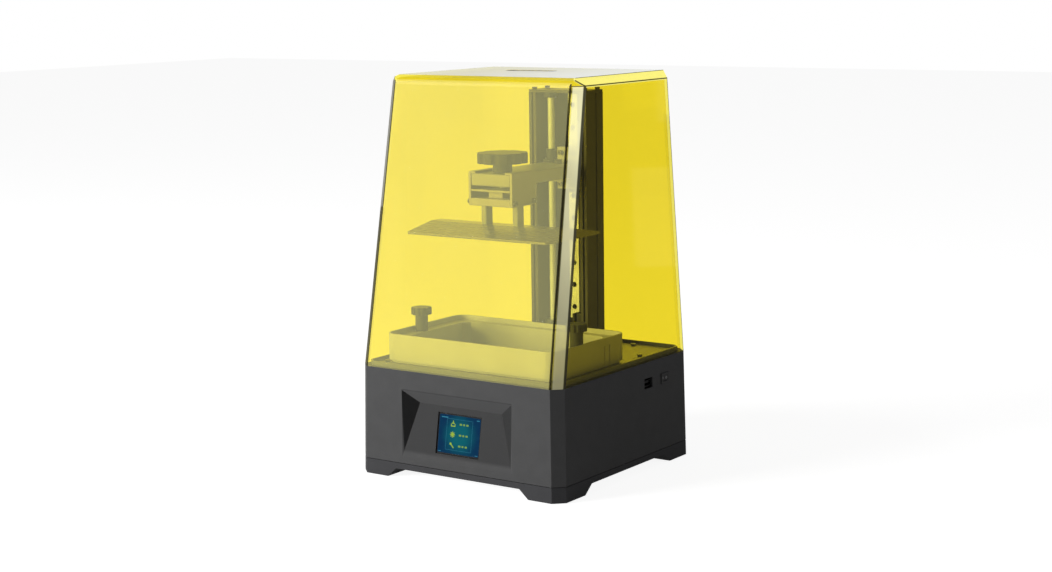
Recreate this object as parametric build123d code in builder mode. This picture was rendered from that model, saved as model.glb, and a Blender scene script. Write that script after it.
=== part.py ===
from build123d import *
import os
from math import atan2, cos, radians, sin, tan

# Desktop resin printer: a base with the exposure unit, a Z column that carries the build
# plate, a resin vat and a lift-off UV cover. Millimetres, Z up, front towards -Y.
# The origin is on the table, under the middle of the base.

os.makedirs("parts", exist_ok=True)

# ---- driving dimensions ----------------------------------------------------------------
total_height = 425.0
base_top = 117.8
foot_half_x = 131.0
foot_half_y = 130.0
flare = 2.0
corner_x = 11.0
corner_y = 10.6
wall = 3.0

pad_lift = 1.0
tray_underside = 10.8
tray_floor_top = 13.3
tray_top = 17.2
shell_bottom = 17.8
shell_roof = base_top - wall

foot_run_x = 38.9
foot_slope_x = 12.2
foot_run_y = 44.4
foot_slope_y = 14.0

cover_wall = 3.0
cover_lean_side = 6.2
cover_lean_front = 53.2
cover_lean_back = 24.0
cover_bend_radius = 12.0
cover_edge_across = 10.5
cover_edge_down = 7.9
grip_x = -17.0
grip_y = 42.0
grip_length = 64.0
grip_width = 18.0
grip_depth = 1.0

deck_inset = 6.0
deck_thickness = 2.0
deck_top = base_top + deck_thickness
deck_rim = 2.0
deck_rim_top = 122.6

process_y = -38.5
lcd_x = 180.0
lcd_y = 110.0
lcd_top = 120.0
glass_top = 122.0
window_x = 168.0
window_y = 100.0

vat_half_x = 110.9
vat_front = -107.0
vat_back = 30.0
vat_bottom = 122.3
vat_rim = 151.0
vat_shelf = 146.0
vat_wall = 2.5
vat_corner = 14.0
tray_half_x = 93.5
tray_half_y = 55.5
tray_corner = 7.5
film_bottom = 122.1
thumb_x = 101.1
thumb_y = -53.0
thumb_screw_r = 3.0

column_half_x = 37.5
column_front = 66.0
column_back = 100.0
column_top = 403.0
column_flange = 9.0
column_web = 3.5
cap_thickness = 3.0

screw_x = -17.5
screw_y = 80.0
screw_r = 4.0
shaft_r = 2.5
running = 0.05

rail_x = 5.5
rail_width = 12.0
rail_height = 8.0
rail_low = 148.0
rail_length = 250.0
rail_pitch = 25.0
carriage_low = 290.0
carriage_high = 340.0
carriage_face = 83.5

arm_bottom = 309.5
arm_top = 322.5
arm_half_x = 25.0
arm_front = -60.5
arm_back = 75.5

head_y = -39.5
head_half_y = 21.5
knob_y = -38.0

plate_half_x = 89.6
plate_half_y = 51.0
plate_bottom = 257.0
plate_rim = 2.5
plate_ridge_top = 267.0
plate_ridge_half = 8.0

recess_half_top = 71.0
recess_half_deep = 53.0
recess_top = 97.0
recess_deep_z = 83.7
recess_deep_y = -120.0
recess_bottom = 25.4
screen_x = 56.0
screen_z = 43.5

port_z = 95.0
usb_y = 42.6
switch_y = 76.5
port_y = 16.4
port_high = 11.2
usb_board_top = 91.9

# the power inlet and the cooling fan in the back wall
jack_x = -80.0
jack_z = 40.0
jack_face = 129.2
fan_x = 60.0
fan_z = 58.0
fan_size = 60.0
fan_thick = 15.0
fan_pitch = 50.0
fan_front = 109.0
fan_head_seat = 127.6

motor_size = 42.3
motor_bottom = 74.8
motor_bolt = 15.5

# the common M3 screw: its tapped hole, shank, head and hex socket
tapped_r = 1.5
shank_r = 1.45
head_r = 2.75
key_r = 1.2

# how far a 45-degree corner cut shortens for each millimetre that its walls move in
corner_share = 0.586


def base_half_x(z):
    """Half the base's width at a height: the walls flare a little towards the table."""
    return foot_half_x - flare * z / base_top


def base_half_y(z):
    return foot_half_y - flare * z / base_top


def finish(piece, name):
    """Label a piece and write it to its own file."""
    piece.part.label = name
    export_step(piece.part, f"parts/{name}.step")


def cut_corner_face(half_x, front, back, cut_x, cut_y):
    """A rectangle with its four corners cut off, as a sketch face."""
    return Polygon(
        (-half_x + cut_x, front),
        (half_x - cut_x, front),
        (half_x, front + cut_y),
        (half_x, back - cut_y),
        (half_x - cut_x, back),
        (-half_x + cut_x, back),
        (-half_x, back - cut_y),
        (-half_x, front + cut_y),
        align=None,
    )


def base_band(low, high, inset, mode=Mode.ADD):
    """A slice of the flared base between two heights, its walls moved in by inset."""
    shrink = corner_share * inset
    ends = []
    for z in (low, high):
        with BuildSketch(Plane.XY.offset(z)) as end:
            half_y = base_half_y(z) - inset
            cut_corner_face(base_half_x(z) - inset, -half_y, half_y, corner_x - shrink, corner_y - shrink)
        ends.append(end.sketch.face())
    loft(ends, mode=mode)


def upright_box(x0, x1, y0, y1, z0, z1, mode=Mode.ADD):
    """A box between two corners."""
    with Locations(((x0 + x1) / 2, (y0 + y1) / 2, (z0 + z1) / 2)):
        Box(x1 - x0, y1 - y0, z1 - z0, mode=mode)


def upright_rod(x, y, z0, z1, radius, mode=Mode.ADD):
    """A cylinder standing between two heights."""
    with Locations((x, y, (z0 + z1) / 2)):
        Cylinder(radius, z1 - z0, mode=mode)


def cap_screws(name, places, head_base, shank_end, shank=shank_r, head=head_r, head_h=1.9, key=key_r):
    """A group of identical socket screws with their heads up, at (x, y) places."""
    with BuildPart() as screws:
        for x, y in places:
            upright_rod(x, y, shank_end, head_base, shank)
            upright_rod(x, y, head_base, head_base + head_h, head)
            with BuildSketch(Plane.XY.offset(head_base + head_h)):
                with Locations((x, y)):
                    RegularPolygon(key, 6)
            extrude(amount=-0.6 * head_h, mode=Mode.SUBTRACT)
    finish(screws, name)


# ---- lower tray with its four corner feet ----------------------------------------------
tray_screw_places = [(x, y) for x in (-113, 113) for y in (-112, 112)]
pad_places = [(x, y) for x in (-110, 110) for y in (-106, 106)]

with BuildPart() as bottom_tray:
    base_band(pad_lift, tray_top, 0)
    base_band(tray_floor_top, tray_top + 1, wall, mode=Mode.SUBTRACT)
    half_x = foot_half_x - foot_run_x
    with BuildSketch(Plane.XZ):
        with BuildLine():
            Polyline(
                (-half_x, 0),
                (half_x, 0),
                (half_x - foot_slope_x, tray_underside),
                (-half_x + foot_slope_x, tray_underside),
                close=True,
            )
        make_face()
    extrude(amount=2 * foot_half_y, both=True, mode=Mode.SUBTRACT)
    half_y = foot_half_y - foot_run_y
    with BuildSketch(Plane.YZ):
        with BuildLine():
            Polyline(
                (-half_y, 0),
                (half_y, 0),
                (half_y - foot_slope_y, tray_underside),
                (-half_y + foot_slope_y, tray_underside),
                close=True,
            )
        make_face()
    extrude(amount=2 * foot_half_x, both=True, mode=Mode.SUBTRACT)
    for x, y in pad_places:
        upright_rod(x, y, 0, 3, 8, mode=Mode.SUBTRACT)
    for x, y in tray_screw_places:
        upright_rod(x, y, 0, tray_floor_top, 1.6, mode=Mode.SUBTRACT)
        upright_rod(x, y, 0, 7, 3.2, mode=Mode.SUBTRACT)
    # air intake slots under the heat sink
    with BuildSketch(Plane.XY.offset(tray_underside)):
        with Locations((0, process_y)):
            with GridLocations(10, 0, 11, 1):
                SlotOverall(60, 4, rotation=90)
    extrude(amount=tray_floor_top - tray_underside, mode=Mode.SUBTRACT)
finish(bottom_tray, "bottom_tray")

with BuildPart() as rubber_feet:
    for x, y in pad_places:
        upright_rod(x, y, 0, 3, 8)
    foot_edges = rubber_feet.edges().filter_by(GeomType.CIRCLE).group_by(Axis.Z)[0]
    fillet(foot_edges, 0.5)
finish(rubber_feet, "rubber_feet")

with BuildPart() as tray_screws:
    for x, y in tray_screw_places:
        upright_rod(x, y, 7, 24, 1.5)
        upright_rod(x, y, 4.6, 7, 2.9)
finish(tray_screws, "tray_screws")


# ---- base shell ------------------------------------------------------------------------
recess_front_y = -base_half_y(recess_bottom)
recess_tilt = atan2(recess_deep_y - recess_front_y, recess_deep_z - recess_bottom)
screen_centre_z = 55.6
screen_centre_y = recess_front_y + tan(recess_tilt) * (screen_centre_z - recess_bottom)
# the recess's back plane: local X to the right, local Y up the slope, Z out to the front
screen_plane = Plane(
    origin=(0, screen_centre_y, screen_centre_z),
    x_dir=(1, 0, 0),
    z_dir=(0, -cos(recess_tilt), sin(recess_tilt)),
)


def recess_wedge(skin):
    """The sloping recess round the screen, every face moved outwards by skin.

    It is a wedge across the front wall, trimmed by a slanting plane at each end.
    """
    far = 12.0
    back = Vector(0, cos(recess_tilt), -sin(recess_tilt))
    lift = Vector(0, 0, skin)
    low = Vector(0, recess_front_y, recess_bottom) + back * skin
    deep = Vector(0, recess_deep_y, recess_deep_z) + back * skin + lift * 0.8
    top = Vector(0, -base_half_y(recess_top), recess_top) + lift
    with BuildPart() as wedge:
        with BuildSketch(Plane.YZ):
            Polygon(
                (low.Y, low.Z),
                (deep.Y, deep.Z),
                (top.Y, top.Z),
                (top.Y - far, top.Z + 1.2 * far),
                (low.Y - far, low.Z - 0.2 * far),
                align=None,
            )
        extrude(amount=recess_half_top + skin + 12, both=True)
        for side in (-1, 1):
            a = Vector(side * recess_half_top, recess_front_y, recess_bottom)
            b = Vector(side * recess_half_top, -base_half_y(recess_top), recess_top)
            c = Vector(side * recess_half_deep, recess_deep_y, recess_deep_z)
            normal = (b - a).cross(c - a).normalized()
            outward = normal if normal.X * side > 0 else normal * -1
            split(bisect_by=Plane(origin=a + outward * skin, z_dir=outward), keep=Keep.BOTTOM)
    return wedge.part


deck_screw_places = [(x, y) for x in (-108, 108) for y in (-105, 60)] + [(-70, 108), (70, 108)]
motor_screw_places = [
    (screw_x + x, screw_y + y) for x in (-motor_bolt, motor_bolt) for y in (-motor_bolt, motor_bolt)
]
foot_screw_places = [(x, y) for x in (-42, 42) for y in (72, 94)]
hood_screw_places = [(x, y) for x in (-92, 92) for y in (process_y - 40, process_y + 40)]

# the pan of the recess stands inwards from the front wall
with BuildPart() as recess_pan:
    add(recess_wedge(wall))
    base_band(shell_bottom, base_top, 0, mode=Mode.INTERSECT)

with BuildPart() as base_shell:
    base_band(shell_bottom, base_top, 0)
    base_band(shell_bottom - 1, shell_roof, wall, mode=Mode.SUBTRACT)
    add(recess_pan.part)
    add(recess_wedge(0), mode=Mode.SUBTRACT)
    with BuildSketch(screen_plane.offset(1)):
        Rectangle(screen_x, screen_z)
    extrude(amount=-12, mode=Mode.SUBTRACT)
    # corner posts for the screws that hold the tray
    for x, y in tray_screw_places:
        upright_rod(x, y, tray_floor_top, shell_roof, 5)
        upright_rod(x, y, tray_floor_top, 24, tapped_r, mode=Mode.SUBTRACT)
    # light window, motor pilot and screw holes in the roof
    upright_box(
        -window_x / 2, window_x / 2, process_y - window_y / 2, process_y + window_y / 2,
        shell_roof - 1, base_top + 1, mode=Mode.SUBTRACT,
    )
    upright_rod(screw_x, screw_y, shell_roof - 1, base_top + 1, 11.2, mode=Mode.SUBTRACT)
    upright_box(-20, 12, 14.4, 15.9, shell_roof - 1, base_top + 1, mode=Mode.SUBTRACT)
    for x, y in motor_screw_places + deck_screw_places:
        upright_rod(x, y, shell_roof - 1, base_top + 1, tapped_r, mode=Mode.SUBTRACT)
    for x, y in foot_screw_places:
        upright_rod(x, y, shell_roof - 1, base_top + 1, tapped_r, mode=Mode.SUBTRACT)
    for x, y in hood_screw_places:
        upright_rod(x, y, shell_roof - 1, shell_roof + 2.2, tapped_r, mode=Mode.SUBTRACT)
    for side in (-1, 1):
        upright_rod(
            side * thumb_x, thumb_y, shell_roof - 1, base_top + 1, thumb_screw_r + running,
            mode=Mode.SUBTRACT,
        )
    # openings for the USB port and the rocker switch in the right wall
    for y, rim in ((usb_y, 0), (switch_y, 1)):
        upright_box(
            120, 135, y - port_y / 2 + rim, y + port_y / 2 - rim,
            port_z - port_high / 2 + rim, port_z + port_high / 2 - rim, mode=Mode.SUBTRACT,
        )
    for y in (usb_y - 12, usb_y + 9):
        upright_box(108, 127, y, y + 3, usb_board_top - 3.2, usb_board_top - 1.6)
    # power inlet, fan outlet slots and fan screw holes in the back wall
    with BuildSketch(Plane.XZ.offset(-foot_half_y - 1)):
        with Locations((jack_x, jack_z)):
            Circle(5.5)
        with Locations((fan_x, fan_z)):
            with GridLocations(0, 7, 1, 7):
                SlotOverall(46, 3.6)
            with GridLocations(fan_pitch, fan_pitch, 2, 2):
                Circle(1.6)
    extrude(amount=10, mode=Mode.SUBTRACT)
    with BuildSketch(Plane.XZ.offset(-foot_half_y - 1)):
        with Locations((fan_x, fan_z)):
            with GridLocations(fan_pitch, fan_pitch, 2, 2):
                Circle(3.1)
    extrude(amount=foot_half_y + 1 - fan_head_seat, mode=Mode.SUBTRACT)
finish(base_shell, "base_shell")

# ---- deck plate on top of the base -------------------------------------------------------
with BuildPart() as deck_plate:
    inner_half_x = base_half_x(base_top) - deck_inset
    inner_half_y = base_half_y(base_top) - deck_inset
    cut = corner_x - corner_share * deck_inset
    with BuildSketch(Plane.XY.offset(base_top)):
        cut_corner_face(inner_half_x, -inner_half_y, inner_half_y, cut, cut)
    extrude(amount=deck_rim_top - base_top)
    with BuildSketch(Plane.XY.offset(deck_top)):
        cut_corner_face(
            inner_half_x - deck_rim, -inner_half_y + deck_rim, inner_half_y - deck_rim, cut - 1.2, cut - 1.2
        )
    extrude(amount=deck_rim_top - deck_top, mode=Mode.SUBTRACT)
    upright_box(
        -lcd_x / 2, lcd_x / 2, process_y - lcd_y / 2, process_y + lcd_y / 2,
        base_top - 1, deck_top + 1, mode=Mode.SUBTRACT,
    )
    upright_rod(screw_x, screw_y, base_top - 1, deck_top + 1, 11.5, mode=Mode.SUBTRACT)
    for x, y in motor_screw_places:
        upright_rod(x, y, base_top - 1, deck_top + 1, 3.2, mode=Mode.SUBTRACT)
    for x, y in deck_screw_places:
        upright_rod(x, y, base_top - 1, deck_top + 1, tapped_r, mode=Mode.SUBTRACT)
    for x, y in foot_screw_places:
        upright_rod(x, y, base_top - 1, deck_top + 1, tapped_r, mode=Mode.SUBTRACT)
    for side in (-1, 1):
        upright_rod(
            side * thumb_x, thumb_y, base_top - 1, deck_top + 1, thumb_screw_r + running, mode=Mode.SUBTRACT
        )
finish(deck_plate, "deck_plate")

cap_screws("deck_screws", deck_screw_places, deck_top, shell_roof - 3, head_h=1.6)

# ---- exposure unit -------------------------------------------------------------------------
ribbon_low = 25.3
ribbon_thick = 0.3
with BuildPart() as lcd_panel:
    with BuildSketch(Plane.XY.offset(base_top)):
        with Locations((0, process_y)):
            Rectangle(lcd_x, lcd_y)
    extrude(amount=lcd_top - base_top)
    # flat ribbon bonded to the back edge, running down to the mainboard
    with BuildSketch(Plane.YZ.offset(-16)):
        Polygon(
            (15.0, base_top),
            (15.0, 48),
            (33, ribbon_low),
            (40, ribbon_low),
            (40, ribbon_low + ribbon_thick),
            (33.1, ribbon_low + ribbon_thick),
            (15.3, 48.1),
            (15.3, base_top),
            align=None,
        )
    extrude(amount=24)
finish(lcd_panel, "lcd_panel")

with BuildPart() as lcd_glass:
    with BuildSketch(Plane.XY.offset(lcd_top)):
        with Locations((0, process_y)):
            RectangleRounded(lcd_x - 4, lcd_y - 4, 3)
    extrude(amount=glass_top - lcd_top)
    chamfer(lcd_glass.faces().sort_by(Axis.Z)[-1].edges(), 0.4)
finish(lcd_glass, "lcd_glass")

hood_bottom = 60.0
lens_x = 142.0
lens_y = 86.0
hood_wall = 2.0
led_pitch = 18.0

with BuildPart() as light_hood:
    for z, across, deep in ((hood_bottom, lens_x, lens_y), (shell_roof, window_x + 4, window_y + 4)):
        with BuildSketch(Plane.XY.offset(z)):
            with Locations((0, process_y)):
                Rectangle(across, deep)
    loft()
    for z, across, deep in ((hood_bottom, lens_x, lens_y), (shell_roof, window_x + 4, window_y + 4)):
        with BuildSketch(Plane.XY.offset(z)):
            with Locations((0, process_y)):
                Rectangle(across - 2 * hood_wall, deep - 2 * hood_wall)
    loft(mode=Mode.SUBTRACT)
    # side ears that screw to the roof
    for side in (-1, 1):
        near = side * (window_x / 2 + 1)
        far = side * (window_x / 2 + 14)
        for y in (process_y - 40, process_y + 40):
            upright_box(min(near, far), max(near, far), y - 7, y + 7, shell_roof - 3, shell_roof)
    for x, y in hood_screw_places:
        upright_rod(x, y, shell_roof - 4, shell_roof + 1, tapped_r, mode=Mode.SUBTRACT)
finish(light_hood, "light_hood")

with BuildPart() as hood_screws:
    for x, y in hood_screw_places:
        upright_rod(x, y, shell_roof - 3, shell_roof + 2, shank_r)
        upright_rod(x, y, shell_roof - 5.4, shell_roof - 3, head_r)
        with BuildSketch(Plane.XY.offset(shell_roof - 5.4)):
            with Locations((x, y)):
                RegularPolygon(key_r, 6)
        extrude(amount=1.4, mode=Mode.SUBTRACT)
finish(hood_screws, "hood_screws")

with BuildPart() as lens_array:
    with BuildSketch(Plane.XY.offset(hood_bottom - 3)):
        with Locations((0, process_y)):
            Rectangle(lens_x, lens_y)
    extrude(amount=3)
    with BuildSketch(Plane.XY.offset(hood_bottom - 6)):
        with Locations((0, process_y)):
            Rectangle(lens_x, lens_y)
            Rectangle(lens_x - 8, lens_y - 8, mode=Mode.SUBTRACT)
    extrude(amount=3)
    # one dome over each light-emitting diode
    with BuildSketch(Plane.XY.offset(hood_bottom)):
        with Locations((0, process_y)):
            with GridLocations(led_pitch, led_pitch, 7, 4):
                Circle(7.5)
    extrude(amount=4, taper=35)
finish(lens_array, "lens_array")

with BuildPart() as led_board:
    with BuildSketch(Plane.XY.offset(hood_bottom - 8)):
        with Locations((0, process_y)):
            Rectangle(lens_x, lens_y)
    extrude(amount=2)
    with BuildSketch(Plane.XY.offset(hood_bottom - 6)):
        with Locations((0, process_y)):
            with GridLocations(led_pitch, led_pitch, 7, 4):
                Rectangle(3.5, 3.5)
    extrude(amount=1.2)
finish(led_board, "led_board")

sink_top = hood_bottom - 8
sink_base = 5.0
fin_height = 20.0
with BuildPart() as heat_sink:
    with BuildSketch(Plane.XY.offset(sink_top - sink_base)):
        with Locations((0, process_y)):
            Rectangle(lens_x, lens_y)
    extrude(amount=sink_base)
    with BuildSketch(Plane.XY.offset(sink_top - sink_base - fin_height)):
        with Locations((0, process_y)):
            with GridLocations(10, 0, 15, 1):
                Rectangle(2, lens_y)
    extrude(amount=fin_height)
finish(heat_sink, "heat_sink")

# ---- cooling fan behind the outlet slots -------------------------------------------------
fan_back = fan_front + fan_thick
with BuildPart() as fan_frame:
    with BuildSketch(Plane.XZ.offset(-fan_back)):
        with Locations((fan_x, fan_z)):
            RectangleRounded(fan_size, fan_size, 4)
            Circle(28.2, mode=Mode.SUBTRACT)
            with GridLocations(fan_pitch, fan_pitch, 2, 2):
                Circle(1.6, mode=Mode.SUBTRACT)
    extrude(amount=fan_thick)
    # hub seat on three struts at the front side
    with BuildSketch(Plane.XZ.offset(-fan_front - 2)):
        with Locations((fan_x, fan_z)):
            Circle(12)
            with PolarLocations(20, 3, start_angle=30):
                Rectangle(20, 3)
            Circle(2 + running, mode=Mode.SUBTRACT)
    extrude(amount=2)
finish(fan_frame, "fan_frame")

with BuildPart() as fan_rotor:
    with BuildSketch(Plane.XZ.offset(-fan_back + 1)):
        with Locations((fan_x, fan_z)):
            Circle(12)
    extrude(amount=11)
    for blade in range(7):
        turn = radians(blade * 360 / 7)
        pitch = radians(35)
        blade_plane = Plane(
            origin=(fan_x, (fan_front + fan_back) / 2 + 1, fan_z),
            x_dir=(cos(turn), 0, sin(turn)),
            z_dir=(-sin(turn) * cos(pitch), sin(pitch), cos(turn) * cos(pitch)),
        )
        with BuildSketch(blade_plane):
            with Locations((19, 0)):
                Rectangle(16, 9)
        extrude(amount=0.7, both=True)
    with BuildSketch(Plane.XZ.offset(-fan_front)):
        with Locations((fan_x, fan_z)):
            Circle(2)
    extrude(amount=-5)
finish(fan_rotor, "fan_rotor")

with BuildPart() as fan_screws:
    for x in (fan_x - fan_pitch / 2, fan_x + fan_pitch / 2):
        for z in (fan_z - fan_pitch / 2, fan_z + fan_pitch / 2):
            with BuildSketch(Plane.XZ.offset(-fan_head_seat - 1.3)):
                with Locations((x, z)):
                    Circle(2.9)
            extrude(amount=1.3)
            with BuildSketch(Plane.XZ.offset(-fan_head_seat)):
                with Locations((x, z)):
                    Circle(1.5)
            extrude(amount=fan_head_seat - fan_front - 3)
finish(fan_screws, "fan_screws")

# ---- electronics in the base ---------------------------------------------------------------
board_x0 = -95.0
board_x1 = 22.0
board_y0 = 29.5
board_y1 = 114.5
board_low = 22.0
board_top = 23.6
board_screw_places = [
    (x, y) for x in (board_x0 + 5, board_x1 - 5) for y in (board_y0 + 5, board_y1 - 5)
]

with BuildPart() as standoffs:
    for x, y in board_screw_places:
        upright_rod(x, y, tray_floor_top, board_low, 3)
        upright_rod(x, y, board_low, board_top + 0.2, 1.5)
        upright_rod(x, y, board_top, board_top + 1.8, 2.6)
finish(standoffs, "standoffs")

with BuildPart() as mainboard:
    upright_box(board_x0, board_x1, board_y0, board_y1, board_low, board_top)
    for x, y in board_screw_places:
        upright_rod(x, y, board_low - 1, board_top + 1, tapped_r, mode=Mode.SUBTRACT)
    # processor, driver chips, capacitors and plug sockets
    upright_box(-50, -34, 66, 82, board_top, board_top + 1.6)
    upright_box(-24, -16, 70, 78, board_top, board_top + 1.4)
    upright_box(-76, -66, 88, 98, board_top, board_top + 1.4)
    upright_box(-76, -64, 34, 42, board_top, board_top + 6)
    upright_box(-48, -30, 33, 41, board_top, board_top + 6)
    upright_box(-19, 11, 34, 41, board_top, board_top + 1.7)
    for x in (-88, -76, -64):
        upright_rod(x, 72, board_top, board_top + 11, 4)
finish(mainboard, "mainboard")

with BuildPart() as usb_port:
    upright_box(100, 126, usb_y - 12, usb_y + 12, usb_board_top - 1.6, usb_board_top)
    upright_box(110, 127.8, usb_y - 6.6, usb_y + 6.6, usb_board_top, usb_board_top + 6.2)
    upright_box(
        115, 128, usb_y - 6.1, usb_y + 6.1, usb_board_top + 0.5, usb_board_top + 5.7,
        mode=Mode.SUBTRACT,
    )
    upright_box(114, 126.6, usb_y - 5.6, usb_y + 5.6, usb_board_top + 3, usb_board_top + 5)
finish(usb_port, "usb_port")

rocker_pivot_x = 126.9
rocker_reach = 6.6
rocker_tilt = 7.0
with BuildPart() as switch_housing:
    upright_box(118, 129.5, switch_y - 7.1, switch_y + 7.1, port_z - 4.5, port_z + 4.5)
    upright_box(
        129.5, 130.3, switch_y - port_y / 2, switch_y + port_y / 2,
        port_z - port_high / 2, port_z + port_high / 2,
    )
    upright_rod(rocker_pivot_x, switch_y, port_z - 3.6, port_z + 3.6, rocker_reach, mode=Mode.SUBTRACT)
    upright_rod(rocker_pivot_x, switch_y, port_z - 4.3, port_z + 4.3, 1 + running, mode=Mode.SUBTRACT)
    for y in (switch_y - 3, switch_y + 3):
        upright_box(112, 118, y - 0.4, y + 0.4, port_z - 2.4, port_z + 2.4)
finish(switch_housing, "switch_housing")

with BuildPart() as power_rocker:
    rocker_plane = Plane(
        origin=(rocker_pivot_x, switch_y, port_z - 3.5),
        x_dir=(cos(radians(rocker_tilt)), -sin(radians(rocker_tilt)), 0),
        z_dir=(0, 0, 1),
    )
    with BuildSketch(rocker_plane):
        with BuildLine():
            Polyline((3.0, -5.7), (2.2, 0), (3.0, 5.7), (-2.0, 5.0))
            ThreePointArc((-2.0, 5.0), (-5.4, 0), (-2.0, -5.0))
            Line((-2.0, -5.0), (3.0, -5.7))
        make_face()
    extrude(amount=7)
    upright_rod(rocker_pivot_x, switch_y, port_z - 4.2, port_z + 4.2, 1)
finish(power_rocker, "power_rocker")

with BuildPart() as dc_jack:
    with BuildSketch(Plane.XZ.offset(-jack_face)):
        with Locations((jack_x, jack_z)):
            Circle(5.4)
    extrude(amount=5)
    with BuildSketch(Plane.XZ.offset(5 - jack_face)):
        with Locations((jack_x, jack_z)):
            Rectangle(13, 11)
    extrude(amount=12)
    with BuildSketch(Plane.XZ.offset(-jack_face)):
        with Locations((jack_x, jack_z)):
            Circle(3.2)
            Circle(1, mode=Mode.SUBTRACT)
    extrude(amount=9, mode=Mode.SUBTRACT)
finish(dc_jack, "dc_jack")

screen_gap = 0.3
with BuildPart() as screen_module:
    with BuildSketch(screen_plane.offset(-wall - 1.6)):
        Rectangle(68, 50)
    extrude(amount=1.6)
    with BuildSketch(screen_plane.offset(-wall)):
        Rectangle(screen_x - 2 * screen_gap, screen_z - 2 * screen_gap)
    extrude(amount=0.8)
finish(screen_module, "screen_module")

with BuildPart() as screen_glass:
    with BuildSketch(screen_plane.offset(-wall + 0.8)):
        Rectangle(screen_x - 2 * screen_gap, screen_z - 2 * screen_gap)
    extrude(amount=1)
finish(screen_glass, "screen_glass")

# ---- cables ------------------------------------------------------------------------------
with BuildPart() as wiring:
    with BuildLine() as motor_path:
        Spline(
            (screw_x, screw_y - motor_size / 2 - 6, 79),
            (-34, 44, 60),
            (-39, 37, board_top + 6),
            tangents=((0, -1, 0), (0, 0, -1)),
        )
    with BuildSketch(Plane(origin=motor_path.line @ 0, z_dir=motor_path.line % 0)):
        Circle(1.8)
    sweep(path=motor_path.line)
    with BuildLine() as led_path:
        Spline(
            (-58, process_y + lens_y / 2, hood_bottom - 7),
            (-66, 30, 44),
            (-70, 38, board_top + 6),
            tangents=((0, 1, 0), (0, 0, -1)),
        )
    with BuildSketch(Plane(origin=led_path.line @ 0, z_dir=led_path.line % 0)):
        Circle(0.9)
    sweep(path=led_path.line)
finish(wiring, "wiring")

# ---- Z drive -----------------------------------------------------------------------------
with BuildPart() as stepper_motor:
    with BuildSketch(Plane.XY.offset(motor_bottom)):
        with Locations((screw_x, screw_y)):
            Rectangle(motor_size, motor_size)
        chamfer(vertices(), 4)
    extrude(amount=shell_roof - motor_bottom)
    upright_rod(screw_x, screw_y, shell_roof, shell_roof + 2, 11)
    upright_box(
        screw_x - 8, screw_x + 8, screw_y - motor_size / 2 - 6, screw_y - motor_size / 2, 75, 84
    )
    upright_rod(screw_x, screw_y, 97, shell_roof + 3, shaft_r + running, mode=Mode.SUBTRACT)
    for x, y in motor_screw_places:
        upright_rod(x, y, shell_roof - 5, shell_roof + 1, tapped_r, mode=Mode.SUBTRACT)
finish(stepper_motor, "stepper_motor")

cap_screws("motor_screws", motor_screw_places, base_top, shell_roof - 4.5)

coupler_low = 122.5
coupler_mid = 134.0
coupler_high = 146.0
with BuildPart() as motor_shaft:
    upright_rod(screw_x, screw_y, 98, coupler_mid, shaft_r)
finish(motor_shaft, "motor_shaft")

with BuildPart() as shaft_coupler:
    upright_rod(screw_x, screw_y, coupler_low, coupler_high, 9.5)
    chamfer(shaft_coupler.edges().filter_by(GeomType.CIRCLE), 0.6)
    upright_rod(screw_x, screw_y, coupler_low, coupler_mid, shaft_r, mode=Mode.SUBTRACT)
    upright_rod(screw_x, screw_y, coupler_mid, coupler_high, screw_r, mode=Mode.SUBTRACT)
    # clamping slit through one side, and a screw hole across it at each end
    upright_box(
        screw_x + 2, screw_x + 10, screw_y - 0.4, screw_y + 0.4, coupler_low, coupler_high,
        mode=Mode.SUBTRACT,
    )
    with BuildSketch(Plane.XZ.offset(-screw_y - 10)):
        with Locations((screw_x + 6.6, coupler_low + 5), (screw_x + 6.6, coupler_high - 5)):
            Circle(1.3)
    extrude(amount=20, mode=Mode.SUBTRACT)
finish(shaft_coupler, "shaft_coupler")

with BuildPart() as lead_screw:
    upright_rod(screw_x, screw_y, coupler_mid, column_top - cap_thickness - 1, screw_r)
    chamfer(lead_screw.edges().filter_by(GeomType.CIRCLE), 0.6)
finish(lead_screw, "lead_screw")

# ---- column --------------------------------------------------------------------------------
column_y = (column_front + column_back) / 2
column_depth = column_back - column_front
channel_half = column_half_x - column_flange
web_front = column_back - column_web
cap_low = column_top - cap_thickness
cap_screw_places = [(x, y) for x in (-33, 33) for y in (71, 96)]
rail_front = web_front - rail_height
rail_holes = [rail_low + rail_pitch * (n + 0.5) for n in range(int(rail_length / rail_pitch))]

with BuildPart() as z_column:
    with BuildSketch(Plane.XY.offset(deck_top)):
        with Locations((0, column_y)):
            Rectangle(2 * column_half_x, column_depth)
        with Locations((0, (column_front + web_front) / 2)):
            Rectangle(2 * channel_half, web_front - column_front, mode=Mode.SUBTRACT)
        # slots in the flange fronts and a shallow groove down each side
        with Locations((-33, column_front + 1.5), (33, column_front + 1.5)):
            Rectangle(2.4, 3, mode=Mode.SUBTRACT)
        with Locations((-column_half_x, 86), (column_half_x, 86)):
            Rectangle(2, 1.8, mode=Mode.SUBTRACT)
    extrude(amount=cap_low - deck_top)
    for x, y in cap_screw_places:
        upright_rod(x, y, cap_low - 15, cap_low + 1, tapped_r, mode=Mode.SUBTRACT)
    with BuildSketch(Plane.XZ.offset(-column_back - 1)):
        with Locations(*[(rail_x, z) for z in rail_holes]):
            Circle(tapped_r)
    extrude(amount=column_web + 2, mode=Mode.SUBTRACT)
finish(z_column, "z_column")

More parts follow.
